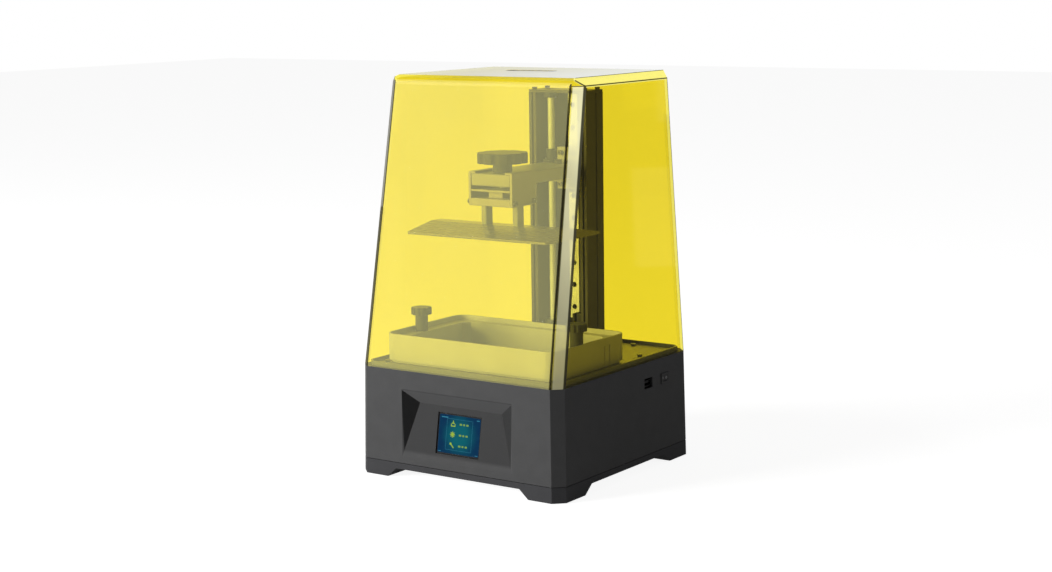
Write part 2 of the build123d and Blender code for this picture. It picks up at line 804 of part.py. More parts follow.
with BuildPart() as column_cap:
    upright_box(-column_half_x, column_half_x, column_front, column_back, cap_low, column_top)
    chamfer(column_cap.edges().filter_by(Axis.Z), 0.5)
    upright_rod(screw_x, screw_y, cap_low - 1, column_top + 1, 5, mode=Mode.SUBTRACT)
    for x, y in cap_screw_places:
        upright_rod(x, y, cap_low - 1, column_top + 1, tapped_r, mode=Mode.SUBTRACT)
finish(column_cap, "column_cap")

foot_top = 128.0
foot_margin = 9.0
with BuildPart() as column_foot:
    upright_box(
        -column_half_x - foot_margin, column_half_x + foot_margin,
        column_front - 6, column_back + 5, deck_top, foot_top,
    )
    chamfer(column_foot.edges().filter_by(Axis.Z), 3)
    chamfer(column_foot.faces().sort_by(Axis.Z)[-1].edges(), 0.8)
    upright_box(
        -column_half_x, column_half_x, column_front, column_back, deck_top - 1, foot_top + 1,
        mode=Mode.SUBTRACT,
    )
    for x, y in foot_screw_places:
        upright_rod(x, y, deck_top - 1, foot_top + 1, tapped_r, mode=Mode.SUBTRACT)
finish(column_foot, "column_foot")

column_screw_length = 16.0
with BuildPart() as column_screws:
    top_places = [(x, y, column_top) for x, y in cap_screw_places]
    low_places = [(x, y, foot_top) for x, y in foot_screw_places]
    for x, y, seat in top_places + low_places:
        upright_rod(x, y, seat - column_screw_length, seat, shank_r)
        upright_rod(x, y, seat, seat + 2.6, head_r)
        with BuildSketch(Plane.XY.offset(seat + 2.6)):
            with Locations((x, y)):
                RegularPolygon(key_r, 6)
        extrude(amount=-1.6, mode=Mode.SUBTRACT)
finish(column_screws, "column_screws")

with BuildPart() as top_bearing:
    upright_rod(screw_x, screw_y, cap_low - 6, cap_low, 8)
    upright_rod(screw_x, screw_y, cap_low - 7, cap_low + 1, screw_r + running, mode=Mode.SUBTRACT)
finish(top_bearing, "top_bearing")

with BuildPart() as linear_rail:
    with BuildSketch(Plane.XY.offset(rail_low)):
        with Locations((rail_x, rail_front + rail_height / 2)):
            Rectangle(rail_width, rail_height)
        for side in (-1, 1):
            with Locations((rail_x + side * rail_width / 2, rail_front + 3.2)):
                Rectangle(1.6, 2.4, mode=Mode.SUBTRACT)
    extrude(amount=rail_length)
    with Locations(*[Plane(origin=(rail_x, rail_front, z), z_dir=(0, -1, 0)) for z in rail_holes]):
        CounterBoreHole(1.75, 3, 4.5, depth=rail_height)
finish(linear_rail, "linear_rail")

with BuildPart() as rail_screws:
    for z in rail_holes:
        with BuildSketch(Plane.XZ.offset(-rail_front - 4.5)):
            with Locations((rail_x, z)):
                Circle(head_r)
        extrude(amount=3)
        with BuildSketch(Plane.XZ.offset(-column_back + 0.5)):
            with Locations((rail_x, z)):
                Circle(shank_r)
        extrude(amount=column_back - 0.5 - rail_front - 4.5)
        with BuildSketch(Plane.XZ.offset(-rail_front - 1.5)):
            with Locations((rail_x, z)):
                RegularPolygon(key_r, 6)
        extrude(amount=-1.6, mode=Mode.SUBTRACT)
finish(rail_screws, "rail_screws")

carriage_half = 13.5
bracket_screw_places = [(rail_x + x, z) for x in (-8, 8) for z in (299, 334)]
with BuildPart() as rail_carriage:
    with BuildSketch(Plane.XY.offset(carriage_low)):
        with Locations((rail_x, (carriage_face + web_front - 1.2) / 2)):
            Rectangle(2 * carriage_half, web_front - 1.2 - carriage_face)
        with Locations((rail_x, rail_front + 5)):
            Rectangle(rail_width + 0.2, 10.2, mode=Mode.SUBTRACT)
    extrude(amount=carriage_high - carriage_low)
    with BuildSketch(Plane.XZ.offset(-carriage_face)):
        with Locations(*bracket_screw_places):
            Circle(tapped_r)
    extrude(amount=-4, mode=Mode.SUBTRACT)
finish(rail_carriage, "rail_carriage")

with BuildPart() as limit_sensor:
    upright_box(17, channel_half, 66.5, 80, 138, 157)
    upright_box(19.4, 22.6, 66, 81, 146, 158, mode=Mode.SUBTRACT)
finish(limit_sensor, "limit_sensor")

# ---- carriage bracket, nut and arm -----------------------------------------------------------
arm_screw_places = [(0, 67), (17, 67)]
with BuildPart() as z_bracket:
    upright_box(-7, 24, arm_back, carriage_face, 294, carriage_high)
    upright_box(-7, 24, 58, arm_back, arm_bottom - 6, arm_bottom)
    # flag that runs into the limit sensor at the bottom of the travel
    upright_box(20.5, 21.5, 69, arm_back, 284, arm_bottom - 6)
    with BuildSketch(Plane.XZ.offset(-carriage_face)):
        with Locations(*bracket_screw_places):
            Circle(1.6)
    extrude(amount=carriage_face - arm_back, mode=Mode.SUBTRACT)
    for x, y in arm_screw_places:
        upright_rod(x, y, arm_bottom - 7, arm_bottom + 1, 2.5, mode=Mode.SUBTRACT)
finish(z_bracket, "z_bracket")

with BuildPart() as bracket_screws:
    for x, z in bracket_screw_places:
        with BuildSketch(Plane.XZ.offset(-arm_back)):
            with Locations((x, z)):
                Circle(head_r)
        extrude(amount=3)
        with BuildSketch(Plane.XZ.offset(-carriage_face - 3.5)):
            with Locations((x, z)):
                Circle(shank_r)
        extrude(amount=carriage_face + 3.5 - arm_back)
        with BuildSketch(Plane.XZ.offset(-arm_back + 3)):
            with Locations((x, z)):
                RegularPolygon(key_r, 6)
        extrude(amount=-1.6, mode=Mode.SUBTRACT)
finish(bracket_screws, "bracket_screws")

nut_screw_places = [(screw_x - 7, screw_y), (screw_x + 7, screw_y)]
with BuildPart() as z_arm:
    upright_box(-arm_half_x, arm_half_x, arm_front, arm_back, arm_bottom, arm_top)
    chamfer(z_arm.edges(), 0.8)
    upright_box(-arm_half_x, -8.5, arm_back - 2, 89, arm_bottom, arm_top)
    upright_rod(screw_x, screw_y, arm_bottom - 1, arm_top + 1, 4.6, mode=Mode.SUBTRACT)
    upright_rod(0, knob_y, arm_bottom - 1, arm_top + 1, 4 + running, mode=Mode.SUBTRACT)
    for x, y in arm_screw_places:
        upright_rod(x, y, arm_bottom - 1, arm_top + 1, 2.5, mode=Mode.SUBTRACT)
    for x, y in nut_screw_places:
        upright_rod(x, y, arm_top - 7, arm_top + 1, 1.2, mode=Mode.SUBTRACT)
finish(z_arm, "z_arm")

cap_screws(
    "arm_screws", arm_screw_places, arm_top, arm_bottom - 5, shank=2.4, head=4.2, head_h=4.5, key=2
)

with BuildPart() as lead_nut:
    upright_rod(screw_x, screw_y, arm_top, arm_top + 3.5, 9.5)
    upright_rod(screw_x, screw_y, arm_top + 3.5, arm_top + 15, 5.6)
    upright_rod(screw_x, screw_y, arm_top - 1, arm_top + 16, screw_r + running, mode=Mode.SUBTRACT)
    for x, y in nut_screw_places:
        upright_rod(x, y, arm_top - 1, arm_top + 4, 1.2, mode=Mode.SUBTRACT)
finish(lead_nut, "lead_nut")

with BuildPart() as nut_screws:
    for x, y in nut_screw_places:
        upright_rod(x, y, arm_top - 6, arm_top + 3.5, 1.15)
        upright_rod(x, y, arm_top + 3.5, arm_top + 5, 1.35)
finish(nut_screws, "nut_screws")

# ---- platform clamp --------------------------------------------------------------------------
yoke_low = 288.4
yoke_gap = 0.1
yoke_plate = 3.0
yoke_inner = arm_half_x + yoke_gap
yoke_outer = yoke_inner + yoke_plate
lip_low = arm_top + 0.1
lip_top = 324.6
lip_reach = 19.0
block_top = 296.5
shelf_low = 303.6
shelf_top = 305.7
lock_y = 17.5
lock_z = 292.5
post_half = 3.75
post_x = 20.25
post_y = 5.75

with BuildPart() as yoke_plates:
    with BuildSketch(Plane.XZ.offset(-head_y - head_half_y)):
        for side in (-1, 1):
            with BuildLine():
                Polyline(
                    (side * yoke_inner, yoke_low),
                    (side * yoke_outer, yoke_low),
                    (side * yoke_outer, lip_top),
                    (side * lip_reach, lip_top),
                    (side * lip_reach, lip_low),
                    (side * yoke_inner, lip_low),
                    close=True,
                )
            make_face()
    extrude(amount=2 * head_half_y)
    chamfer(yoke_plates.edges().filter_by(Axis.Y).group_by(Axis.Z)[-1].sort_by(Axis.X)[0], 1.2)
    chamfer(yoke_plates.edges().filter_by(Axis.Y).group_by(Axis.Z)[-1].sort_by(Axis.X)[-1], 1.2)
    with BuildSketch(Plane.YZ):
        with Locations((head_y - lock_y, lock_z), (head_y + lock_y, lock_z)):
            Circle(2.2)
    extrude(amount=40, both=True, mode=Mode.SUBTRACT)
finish(yoke_plates, "yoke_plates")

with BuildPart() as clamp_block:
    upright_box(
        -arm_half_x, arm_half_x, head_y - head_half_y, head_y + head_half_y, yoke_low, block_top
    )
    chamfer(clamp_block.edges().filter_by(Axis.X), 0.6)
    upright_box(-9, 9, head_y - 12, head_y + 12, block_top, shelf_low)
    upright_box(
        -arm_half_x, arm_half_x, head_y - head_half_y + 0.5, head_y + head_half_y - 0.5,
        shelf_low, shelf_top,
    )
    with BuildSketch(Plane.YZ):
        with Locations((head_y - lock_y, lock_z), (head_y + lock_y, lock_z)):
            Circle(1.4)
    extrude(amount=arm_half_x + 1, both=True, mode=Mode.SUBTRACT)
    for side in (-1, 1):
        upright_rod(side * post_x, head_y, yoke_low - 1, block_top + 1, 1.9, mode=Mode.SUBTRACT)
        upright_rod(side * post_x, head_y, block_top - 3, block_top + 1, 3.4, mode=Mode.SUBTRACT)
finish(clamp_block, "clamp_block")

with BuildPart() as lock_screws:
    for side in (-1, 1):
        for y in (head_y - lock_y, head_y + lock_y):
            head_plane = Plane(origin=(side * (yoke_outer + 0.05), y, lock_z), z_dir=(side, 0, 0))
            with BuildSketch(head_plane):
                Circle(head_r)
            extrude(amount=2.6)
            with BuildSketch(head_plane):
                Circle(1.35)
            extrude(amount=-12)
            with BuildSketch(head_plane.offset(2.6)):
                RegularPolygon(1.3, 6)
            extrude(amount=-1.6, mode=Mode.SUBTRACT)
finish(lock_screws, "lock_screws")

knob_r = 27.0
knob_low = 332.5
knob_high = 343.5
stem_r = 10.25
lobes = 10
with BuildPart() as clamp_screw:
    upright_rod(0, knob_y, shelf_top + 0.25, knob_low + 4, 4)
    chamfer(clamp_screw.edges().filter_by(GeomType.CIRCLE).sort_by(Axis.Z)[0], 0.8)
finish(clamp_screw, "clamp_screw")

with BuildPart() as clamp_knob:
    with BuildSketch(Plane.XY.offset(knob_low)):
        with Locations((0, knob_y)):
            Circle(knob_r)
            with PolarLocations(knob_r + 3.2, lobes):
                Circle(5.2, mode=Mode.SUBTRACT)
    extrude(amount=knob_high - knob_low)
    fillet(clamp_knob.edges().filter_by(Axis.Z), 1.6)
    fillet(clamp_knob.faces().sort_by(Axis.Z)[-1].edges(), 1.2)
    upright_rod(0, knob_y, arm_top + 0.1, knob_low, stem_r)
    upright_rod(0, knob_y, arm_top, knob_low + 4, 4, mode=Mode.SUBTRACT)
finish(clamp_knob, "clamp_knob")

# ---- build platform ------------------------------------------------------------------------
with BuildPart() as platform_posts:
    for side in (-1, 1):
        with BuildSketch(Plane.XY.offset(plate_ridge_top)):
            with Locations((side * post_x, head_y)):
                RectangleRounded(2 * post_half, 2 * post_y, 1.5)
        extrude(amount=yoke_low - plate_ridge_top)
        upright_rod(side * post_x, head_y, plate_ridge_top, yoke_low, 1.9, mode=Mode.SUBTRACT)
finish(platform_posts, "platform_posts")

cap_screws(
    "platform_screws", [(-post_x, head_y), (post_x, head_y)],
    block_top - 3, plate_bottom + 3.5, shank=1.85, head=3.2, head_h=2.8, key=1.5,
)

with BuildPart() as build_plate:
    plate_front = process_y - plate_half_y
    plate_back = process_y + plate_half_y
    with BuildSketch(Plane.YZ.offset(-plate_half_x)):
        with BuildLine():
            Polyline(
                (plate_front, plate_bottom),
                (plate_back, plate_bottom),
                (plate_back, plate_bottom + plate_rim),
                (process_y + plate_ridge_half, plate_ridge_top),
                (process_y - plate_ridge_half, plate_ridge_top),
                (plate_front, plate_bottom + plate_rim),
                close=True,
            )
        make_face()
    extrude(amount=2 * plate_half_x)
    fillet(build_plate.edges().filter_by(Axis.Z), 2)
    chamfer(build_plate.faces().sort_by(Axis.Z)[0].edges(), 0.3)
    for side in (-1, 1):
        upright_rod(
            side * post_x, head_y, plate_bottom + 3, plate_ridge_top + 1, 1.9, mode=Mode.SUBTRACT
        )
finish(build_plate, "build_plate")

# ---- resin vat -----------------------------------------------------------------------------
vat_y = (vat_front + vat_back) / 2
film_screw_places = [(x, process_y + s * 60.5) for s in (-1, 1) for x in (-80, -48, -16, 16, 48, 80)]
film_screw_places += [(s * 100.6, process_y + y) for s in (-1, 1) for y in (-44, 12, 40)]


def tray_opening(spread):
    """The vat's inner opening, a rectangle with cut corners, grown by spread."""
    with Locations((0, process_y)):
        Rectangle(2 * (tray_half_x + spread), 2 * (tray_half_y + spread))


with BuildPart() as vat_body:
    with BuildSketch(Plane.XY.offset(vat_bottom)):
        with Locations((0, vat_y)):
            RectangleRounded(2 * vat_half_x, vat_back - vat_front, vat_corner)
    extrude(amount=vat_rim - vat_bottom)
    with BuildSketch(Plane.XY.offset(vat_shelf)):
        with Locations((0, vat_y)):
            RectangleRounded(
                2 * (vat_half_x - vat_wall), vat_back - vat_front - 2 * vat_wall, vat_corner - vat_wall
            )
    extrude(amount=vat_rim - vat_shelf, mode=Mode.SUBTRACT)
    fillet(vat_body.faces().sort_by(Axis.Z)[-1].edges(), 0.8)
    with BuildSketch(Plane.XY.offset(vat_bottom)):
        tray_opening(0)
        chamfer(vertices(), tray_corner)
    extrude(amount=vat_shelf - vat_bottom, mode=Mode.SUBTRACT)
    # two upright ribs on each side wall
    for side in (-1, 1):
        for y in (-14, -4.5):
            near = side * (vat_half_x - 0.5)
            far = side * (vat_half_x + 0.8)
            upright_box(min(near, far), max(near, far), y - 1, y + 1, vat_bottom + 1, 143)
        upright_rod(
            side * thumb_x, thumb_y, vat_bottom - 1, vat_shelf + 1, thumb_screw_r + running,
            mode=Mode.SUBTRACT,
        )
    for x, y in film_screw_places:
        upright_rod(x, y, vat_bottom - 1, vat_bottom + 5, 1.2, mode=Mode.SUBTRACT)
finish(vat_body, "vat_body")

with BuildPart() as film_frame:
    with BuildSketch(Plane.XY.offset(deck_top)):
        with Locations((0, vat_y)):
            RectangleRounded(2 * (vat_half_x - 3), vat_back - vat_front - 6, vat_corner - 3)
        tray_opening(0)
        with Locations((0, process_y)):
            Rectangle(2 * tray_half_x, 2 * tray_half_y, mode=Mode.SUBTRACT)
    extrude(amount=film_bottom - deck_top)
    for side in (-1, 1):
        upright_rod(side * thumb_x, thumb_y, deck_top - 1, film_bottom + 1, 3.3, mode=Mode.SUBTRACT)
    for x, y in film_screw_places:
        upright_rod(x, y, deck_top - 1, film_bottom + 1, 1.2, mode=Mode.SUBTRACT)
        upright_rod(x, y, deck_top - 1, deck_top + 1.2, 2.3, mode=Mode.SUBTRACT)
finish(film_frame, "film_frame")

with BuildPart() as release_film:
    with BuildSketch(Plane.XY.offset(film_bottom)):
        with Locations((0, vat_y)):
            RectangleRounded(2 * (vat_half_x - 3), vat_back - vat_front - 6, vat_corner - 3)
        with Locations((-thumb_x, thumb_y), (thumb_x, thumb_y)):
            Circle(3.3, mode=Mode.SUBTRACT)
        with Locations(*film_screw_places):
            Circle(1.2, mode=Mode.SUBTRACT)
    extrude(amount=vat_bottom - film_bottom)
finish(release_film, "release_film")

with BuildPart() as film_screws:
    for x, y in film_screw_places:
        upright_rod(x, y, deck_top + 0.1, deck_top + 1.2, 2.2)
        upright_rod(x, y, deck_top + 1.2, vat_bottom + 4, 1.15)
finish(film_screws, "film_screws")

thumb_head_low = 164.2
thumb_head_high = 172.0
thumb_head_r = 11.2
for side, name in ((-1, "thumbscrew_left"), (1, "thumbscrew_right")):
    with BuildPart() as thumbscrew:
        with BuildSketch(Plane.XY.offset(thumb_head_low)):
            with Locations((side * thumb_x, thumb_y)):
                Circle(thumb_head_r)
                with PolarLocations(thumb_head_r + 1, 12):
                    Circle(2.2, mode=Mode.SUBTRACT)
        extrude(amount=thumb_head_high - thumb_head_low)
        chamfer(thumbscrew.faces().sort_by(Axis.Z)[-1].edges(), 0.7)
        upright_rod(side * thumb_x, thumb_y, vat_shelf, thumb_head_low, 6.9)
        upright_rod(side * thumb_x, thumb_y, shell_roof - 2, vat_shelf, thumb_screw_r)
    finish(thumbscrew, name)

# ---- UV cover --------------------------------------------------------------------------------
def cover_form(inset):
    """The cover's closed form, every wall moved inwards by inset.

    The front and the top are one bent sheet, the sides lean in, and the long top edges and
    the four upright corners are cut off at a slant.
    """
    high = total_height - inset
    rise = (high - base_top) / (total_height - base_top)
    shrink = corner_share * inset
    half_x = base_half_x(base_top) - inset
    half_y = base_half_y(base_top) - inset
    with BuildPart() as form:
        with BuildSketch(Plane.XY.offset(base_top)):
            cut_corner_face(half_x, -half_y, half_y, corner_x - shrink, corner_y - shrink)
        with BuildSketch(Plane.XY.offset(high)):
            cut_corner_face(
                half_x - cover_lean_side * rise,
                -half_y + cover_lean_front * rise,
                half_y - cover_lean_back * rise,
                corner_x - shrink,
                corner_y - shrink,
            )
        loft()
        top_face = form.faces().sort_by(Axis.Z)[-1]
        side_edges = top_face.edges().filter_by(Axis.Y)
        chamfer(side_edges, cover_edge_across - shrink, cover_edge_down - shrink, reference=top_face)
        bend = form.faces().sort_by(Axis.Z)[-1].edges().filter_by(Axis.X).sort_by(Axis.Y)[0]
        fillet(bend, cover_bend_radius - inset)
    return form.part


with BuildPart() as uv_cover:
    add(cover_form(0))
    add(cover_form(cover_wall), mode=Mode.SUBTRACT)
    # shallow finger grip in the top
    with BuildSketch(Plane.XY.offset(total_height)):
        with Locations((grip_x, grip_y)):
            SlotOverall(grip_length, grip_width)
    extrude(amount=-grip_depth, mode=Mode.SUBTRACT)
finish(uv_cover, "uv_cover")
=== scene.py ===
from math import atan2, cos, pi, radians, sin

import bmesh
import bpy
from mathutils import Matrix, Vector


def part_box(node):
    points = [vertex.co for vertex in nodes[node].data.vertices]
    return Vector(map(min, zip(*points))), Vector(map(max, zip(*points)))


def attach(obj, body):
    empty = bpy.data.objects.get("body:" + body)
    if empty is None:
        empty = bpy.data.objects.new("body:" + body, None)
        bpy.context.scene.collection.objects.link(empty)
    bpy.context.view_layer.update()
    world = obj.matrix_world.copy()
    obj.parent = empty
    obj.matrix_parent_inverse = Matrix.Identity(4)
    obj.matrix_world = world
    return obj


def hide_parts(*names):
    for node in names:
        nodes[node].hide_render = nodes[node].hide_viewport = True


# The looks of a desktop resin printer: dark powder-coated base, amber acrylic cover, and the
# screw-driven arm, plate and vat seen through it. Metres, in the frame of the CAD model.

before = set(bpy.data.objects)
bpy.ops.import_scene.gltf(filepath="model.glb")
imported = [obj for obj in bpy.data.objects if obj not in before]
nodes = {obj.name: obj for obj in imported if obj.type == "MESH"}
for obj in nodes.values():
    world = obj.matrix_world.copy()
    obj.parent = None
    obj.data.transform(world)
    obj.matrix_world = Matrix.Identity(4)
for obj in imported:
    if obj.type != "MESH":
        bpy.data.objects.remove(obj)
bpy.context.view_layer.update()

MM = 0.001

# how the cover's walls lean from its foot to its top, and how its corners are cut
COVER_LEAN = 53.2 * MM
BACK_LEAN = 24.0 * MM
SIDE_LEAN = 6.2 * MM
CORNER_X = 11.0 * MM
CORNER_Y = 10.6 * MM
SLOPE_ACROSS = 10.5 * MM
SLOPE_DOWN = 7.9 * MM

WHITE = (1, 1, 1, 1)


# ---- shader building ------------------------------------------------------------------------
class Shader:
    """One material's node tree, with short calls that add nodes and join their sockets."""

    def __init__(self, name):
        self.material = bpy.data.materials.new(name)
        self.material.use_nodes = True
        self.tree = self.material.node_tree
        self.tree.nodes.clear()
        self.output = self.tree.nodes.new("ShaderNodeOutputMaterial")
        self.place = self.add("ShaderNodeTexCoord").outputs["Object"]

    def add(self, kind, inputs=None, **settings):
        """A node whose inputs are set from numbers or joined from other nodes' outputs."""
        node = self.tree.nodes.new(kind)
        for key, value in settings.items():
            setattr(node, key, value)
        for key, value in (inputs or {}).items():
            if isinstance(value, bpy.types.NodeSocket):
                self.tree.links.new(value, node.inputs[key])
            else:
                node.inputs[key].default_value = value
        return node

    def noise(self, scale, detail=3.0, stretch=(1, 1, 1)):
        """Noise of about 1/scale metres, stretched along the axes where stretch is small."""
        spread = self.add("ShaderNodeMapping", {"Vector": self.place, "Scale": stretch})
        texture = self.add(
            "ShaderNodeTexNoise", {"Vector": spread.outputs[0], "Scale": scale, "Detail": detail}
        )
        return texture.outputs["Fac"]

    def between(self, factor, low, high):
        """A number that goes from low to high as factor goes from 0 to 1."""
        ramp = self.add("ShaderNodeMapRange", {"Value": factor, "To Min": low, "To Max": high})
        return ramp.outputs[0]

    def window(self, value, low, high):
        """0 below low, 1 above high, and smooth in between."""
        ramp = self.add(
            "ShaderNodeMapRange",
            {"Value": value, "From Min": low, "From Max": high},
            interpolation_type="SMOOTHSTEP",
        )
        return ramp.outputs[0]

    def axis(self, name):
        """One coordinate of the place that is shaded."""
        return self.add("ShaderNodeSeparateXYZ", {0: self.place}).outputs[name]

    def recess_painted_shade(self, colour):
        """Painted shade on a recess: its back and its left and right faces darker, and its ceiling
        lighter, picked by which way each face turns.
        """
        normal = self.add("ShaderNodeNewGeometry").outputs["True Normal"]
        parts = self.add("ShaderNodeSeparateXYZ", {0: normal}).outputs
        shade = self.tint(self.window(parts["X"], 0.15, 0.3), scaled(colour, 0.62), scaled(colour, 0.08))
        shade = self.tint(self.window(parts["X"], -0.15, -0.3), shade, scaled(colour, 0.4))
        return self.tint(self.window(parts["Z"], -0.3, -0.5), shade, scaled(colour, 1.2))

    def inside_box(self, low, high, blur=0.4 * MM):
        """1 inside an upright box and 0 outside it."""
        inside = 1.0
        for name, floor, roof in zip("XYZ", low, high):
            here = self.axis(name)
            inside = self.math("MULTIPLY", inside, self.window(here, floor - blur, floor + blur))
            inside = self.math("MULTIPLY", inside, self.window(here, roof + blur, roof - blur))
        return inside

    def math(self, operation, a, b=0.0):
        return self.add("ShaderNodeMath", {0: a, 1: b}, operation=operation).outputs[0]

    def tint(self, factor, first, second):
        """The first colour where factor is 0 and the second where it is 1."""
        mix = self.add("ShaderNodeMix", {0: factor, 6: first, 7: second}, data_type="RGBA")
        return mix.outputs[2]

    def blend(self, factor, first, second):
        """Two surfaces laid over each other: the first where factor is 0."""
        mix = self.add("ShaderNodeMixShader", {0: factor, 1: first, 2: second})
        return mix.outputs[0]

    def sheen(self, ior):
        """The share of light a clear skin mirrors, the same from outside and from inside."""
        inside = self.add("ShaderNodeNewGeometry").outputs["Backfacing"]
        index = self.between(inside, ior, 1 / ior)
        return self.add("ShaderNodeFresnel", {"IOR": index}).outputs[0]

    def bump(self, height, depth, normal=None):
        """Relief whose full height is depth metres."""
        inputs = {"Height": height, "Distance": depth, "Strength": 1.0}
        if normal is not None:
            inputs["Normal"] = normal
        return self.add("ShaderNodeBump", inputs).outputs[0]

    def surface(self, **inputs):
        """The principled surface, with the underscores of its input names left out."""
        named = {key.replace("_", " "): value for key, value in inputs.items()}
        return self.add("ShaderNodeBsdfPrincipled", named).outputs[0]

    def finish(self, shader):
        self.tree.links.new(shader, self.output.inputs["Surface"])
        return self.material


def grey(value, warm=0.0):
    return (value * (1 + warm), value, value * (1 - warm), 1)


def scaled(colour, share):
    return tuple(c * share for c in colour[:3]) + (1,)


# ---- materials ---------------------------------------------------------------------------
def powder_coat(name, colour, rough=0.5, recess=None):
    """Painted sheet metal with the fine orange peel and faint mottle of powder coating.

    A recess is a box, given as its low and high corners, whose faces get painted shade: darker on its
    back and sides, lighter on its ceiling.
    """
    s = Shader(name)
    mottle = s.noise(60, 4)
    grain = s.noise(2600, 2)
    peel = s.noise(900, 2)
    colour_out = s.tint(mottle, scaled(colour, 0.86), scaled(colour, 1.14))
    # inside the recess box the paint gets painted shade, with a lighter painted ceiling
    if recess is not None:
        colour_out = s.tint(s.inside_box(*recess), colour_out, s.recess_painted_shade(colour))
    relief = s.bump(grain, 0.03 * MM, s.bump(peel, 0.04 * MM))
    return s.finish(
        s.surface(
            Base_Color=colour_out,
            Roughness=s.between(s.noise(1400), rough - 0.1, rough + 0.1),
            Specular_IOR_Level=0.4,
            Normal=relief,
        )
    )


def moulded_plastic(name, colour, rough=0.45):
    """Injection-moulded plastic with a spark-eroded texture."""
    s = Shader(name)
    colour_out = s.tint(s.noise(90, 3), scaled(colour, 0.85), scaled(colour, 1.15))
    return s.finish(
        s.surface(
            Base_Color=colour_out,
            Roughness=s.between(s.noise(500), rough - 0.08, rough + 0.1),
            Normal=s.bump(s.noise(3500, 2), 0.03 * MM),
        )
    )


def soft_rubber(name, colour):
    """Matt rubber with a little pale dust."""
    s = Shader(name)
    dust = s.window(s.noise(700, 5), 0.55, 0.75)
    return s.finish(
        s.surface(
            Base_Color=s.tint(dust, colour, grey(0.08, 0.05)),
            Roughness=0.85,
            Normal=s.bump(s.noise(1800), 0.05 * MM),
        )
    )


def machined_metal(name, colour, rough, stretch, metallic=1.0, depth=0.012):
    """Metal whose tool marks run along the axis where stretch is small."""
    s = Shader(name)
    marks = s.noise(1500, 4, stretch)
    stain = s.noise(45, 4)
    colour_out = s.tint(stain, scaled(colour, 0.88), scaled(colour, 1.08))
    return s.finish(
        s.surface(
            Base_Color=colour_out,
            Metallic=metallic,
            Roughness=s.between(marks, rough - 0.08, rough + 0.12),
            Normal=s.bump(marks, depth * MM),
        )
    )


def blasted_alloy(name, colour, rough=0.42):
    """Bead-blasted and anodised alloy: an even, finely pitted satin."""
    s = Shader(name)
    colour_out = s.tint(s.noise(35, 4), scaled(colour, 0.9), scaled(colour, 1.08))
    return s.finish(
        s.surface(
            Base_Color=colour_out,
            Metallic=0.4,
            Roughness=s.between(s.noise(300), rough - 0.06, rough + 0.08),
            Normal=s.bump(s.noise(2800, 2), 0.03 * MM),
        )
    )


def dark_anodised(name, colour, stretch, rough=0.38):
    """Extruded or milled alloy in dark anodising, with faint lines along its length."""
    s = Shader(name)
    lines = s.noise(1100, 3, stretch)
    colour_out = s.tint(s.noise(25, 3), scaled(colour, 0.85), scaled(colour, 1.15))
    return s.finish(
        s.surface(
            Base_Color=colour_out,
            Metallic=0.35,
            Roughness=s.between(lines, rough - 0.08, rough + 0.1),
            Normal=s.bump(lines, 0.008 * MM),
        )
    )


def circuit_board(name, colour):
    """Solder mask with copper tracks and pads showing through."""
    s = Shader(name)
    tracks = s.add(
        "ShaderNodeTexBrick",
        {"Vector": s.place, "Scale": 160.0, "Mortar Size": 0.012, "Color1": WHITE, "Color2": WHITE},
    ).outputs["Fac"]
    pads = s.add("ShaderNodeTexVoronoi", {"Vector": s.place, "Scale": 260.0}).outputs["Distance"]
    pad = s.math("LESS_THAN", pads, 0.13)
    base = s.tint(s.math("MULTIPLY", tracks, 0.6), colour, scaled(colour, 2.0))
    return s.finish(
        s.surface(
            Base_Color=s.tint(pad, base, (0.75, 0.6, 0.35, 1)),
            Metallic=s.math("MULTIPLY", pad, 0.8),
            Roughness=0.35,
            Normal=s.bump(tracks, 0.03 * MM),
        )
    )


def clear_part(name, colour, haze=0.05, rough=0.05):
    """A thin clear piece: light passes straight through, tinted, under a polished surface."""
    s = Shader(name)
    through = s.add("ShaderNodeBsdfTransparent", {"Color": colour}).outputs[0]
    dull = s.add("ShaderNodeBsdfDiffuse", {"Color": scaled(colour, 0.9)}).outputs[0]
    gloss = s.add("ShaderNodeBsdfGlossy", {"Roughness": rough}).outputs[0]
    smear = s.math("MULTIPLY", s.noise(80, 3), 2 * haze)
    return s.finish(s.blend(s.sheen(1.45), s.blend(smear, through, dull), gloss))


# The colour that one skin of the acrylic lets through, the painted shade along its edges, and the haze
# on the front, the cut front corners, the slopes along the top, the top and the grip; the corners and
# slopes also get a painted glow, the top's pale haze is a painted reflection with a painted glow, and
# the grip's slate is painted shade.
TINT = (0.974, 0.918, 0.37, 1)
EDGE_SHADE = (0.014, 0.012, 0.003, 1)
HAZE_FRONT = (0.95, 0.92, 0.46, 1)
STRIP_HAZE_AND_GLOW = (0.95, 0.91, 0.56, 1)
SLOPE_HAZE_AND_GLOW = (1.0, 0.93, 0.24, 1)
TOP_HAZE_REFLECTION_GLOW = (0.90, 0.94, 0.92, 1)
GRIP_SHADE_SLATE = (0.10, 0.11, 0.19, 1)
LEAST_HAZE = 0.006
EDGE_SHADE_SHARE = 0.93
SKIN = 1.5 * MM


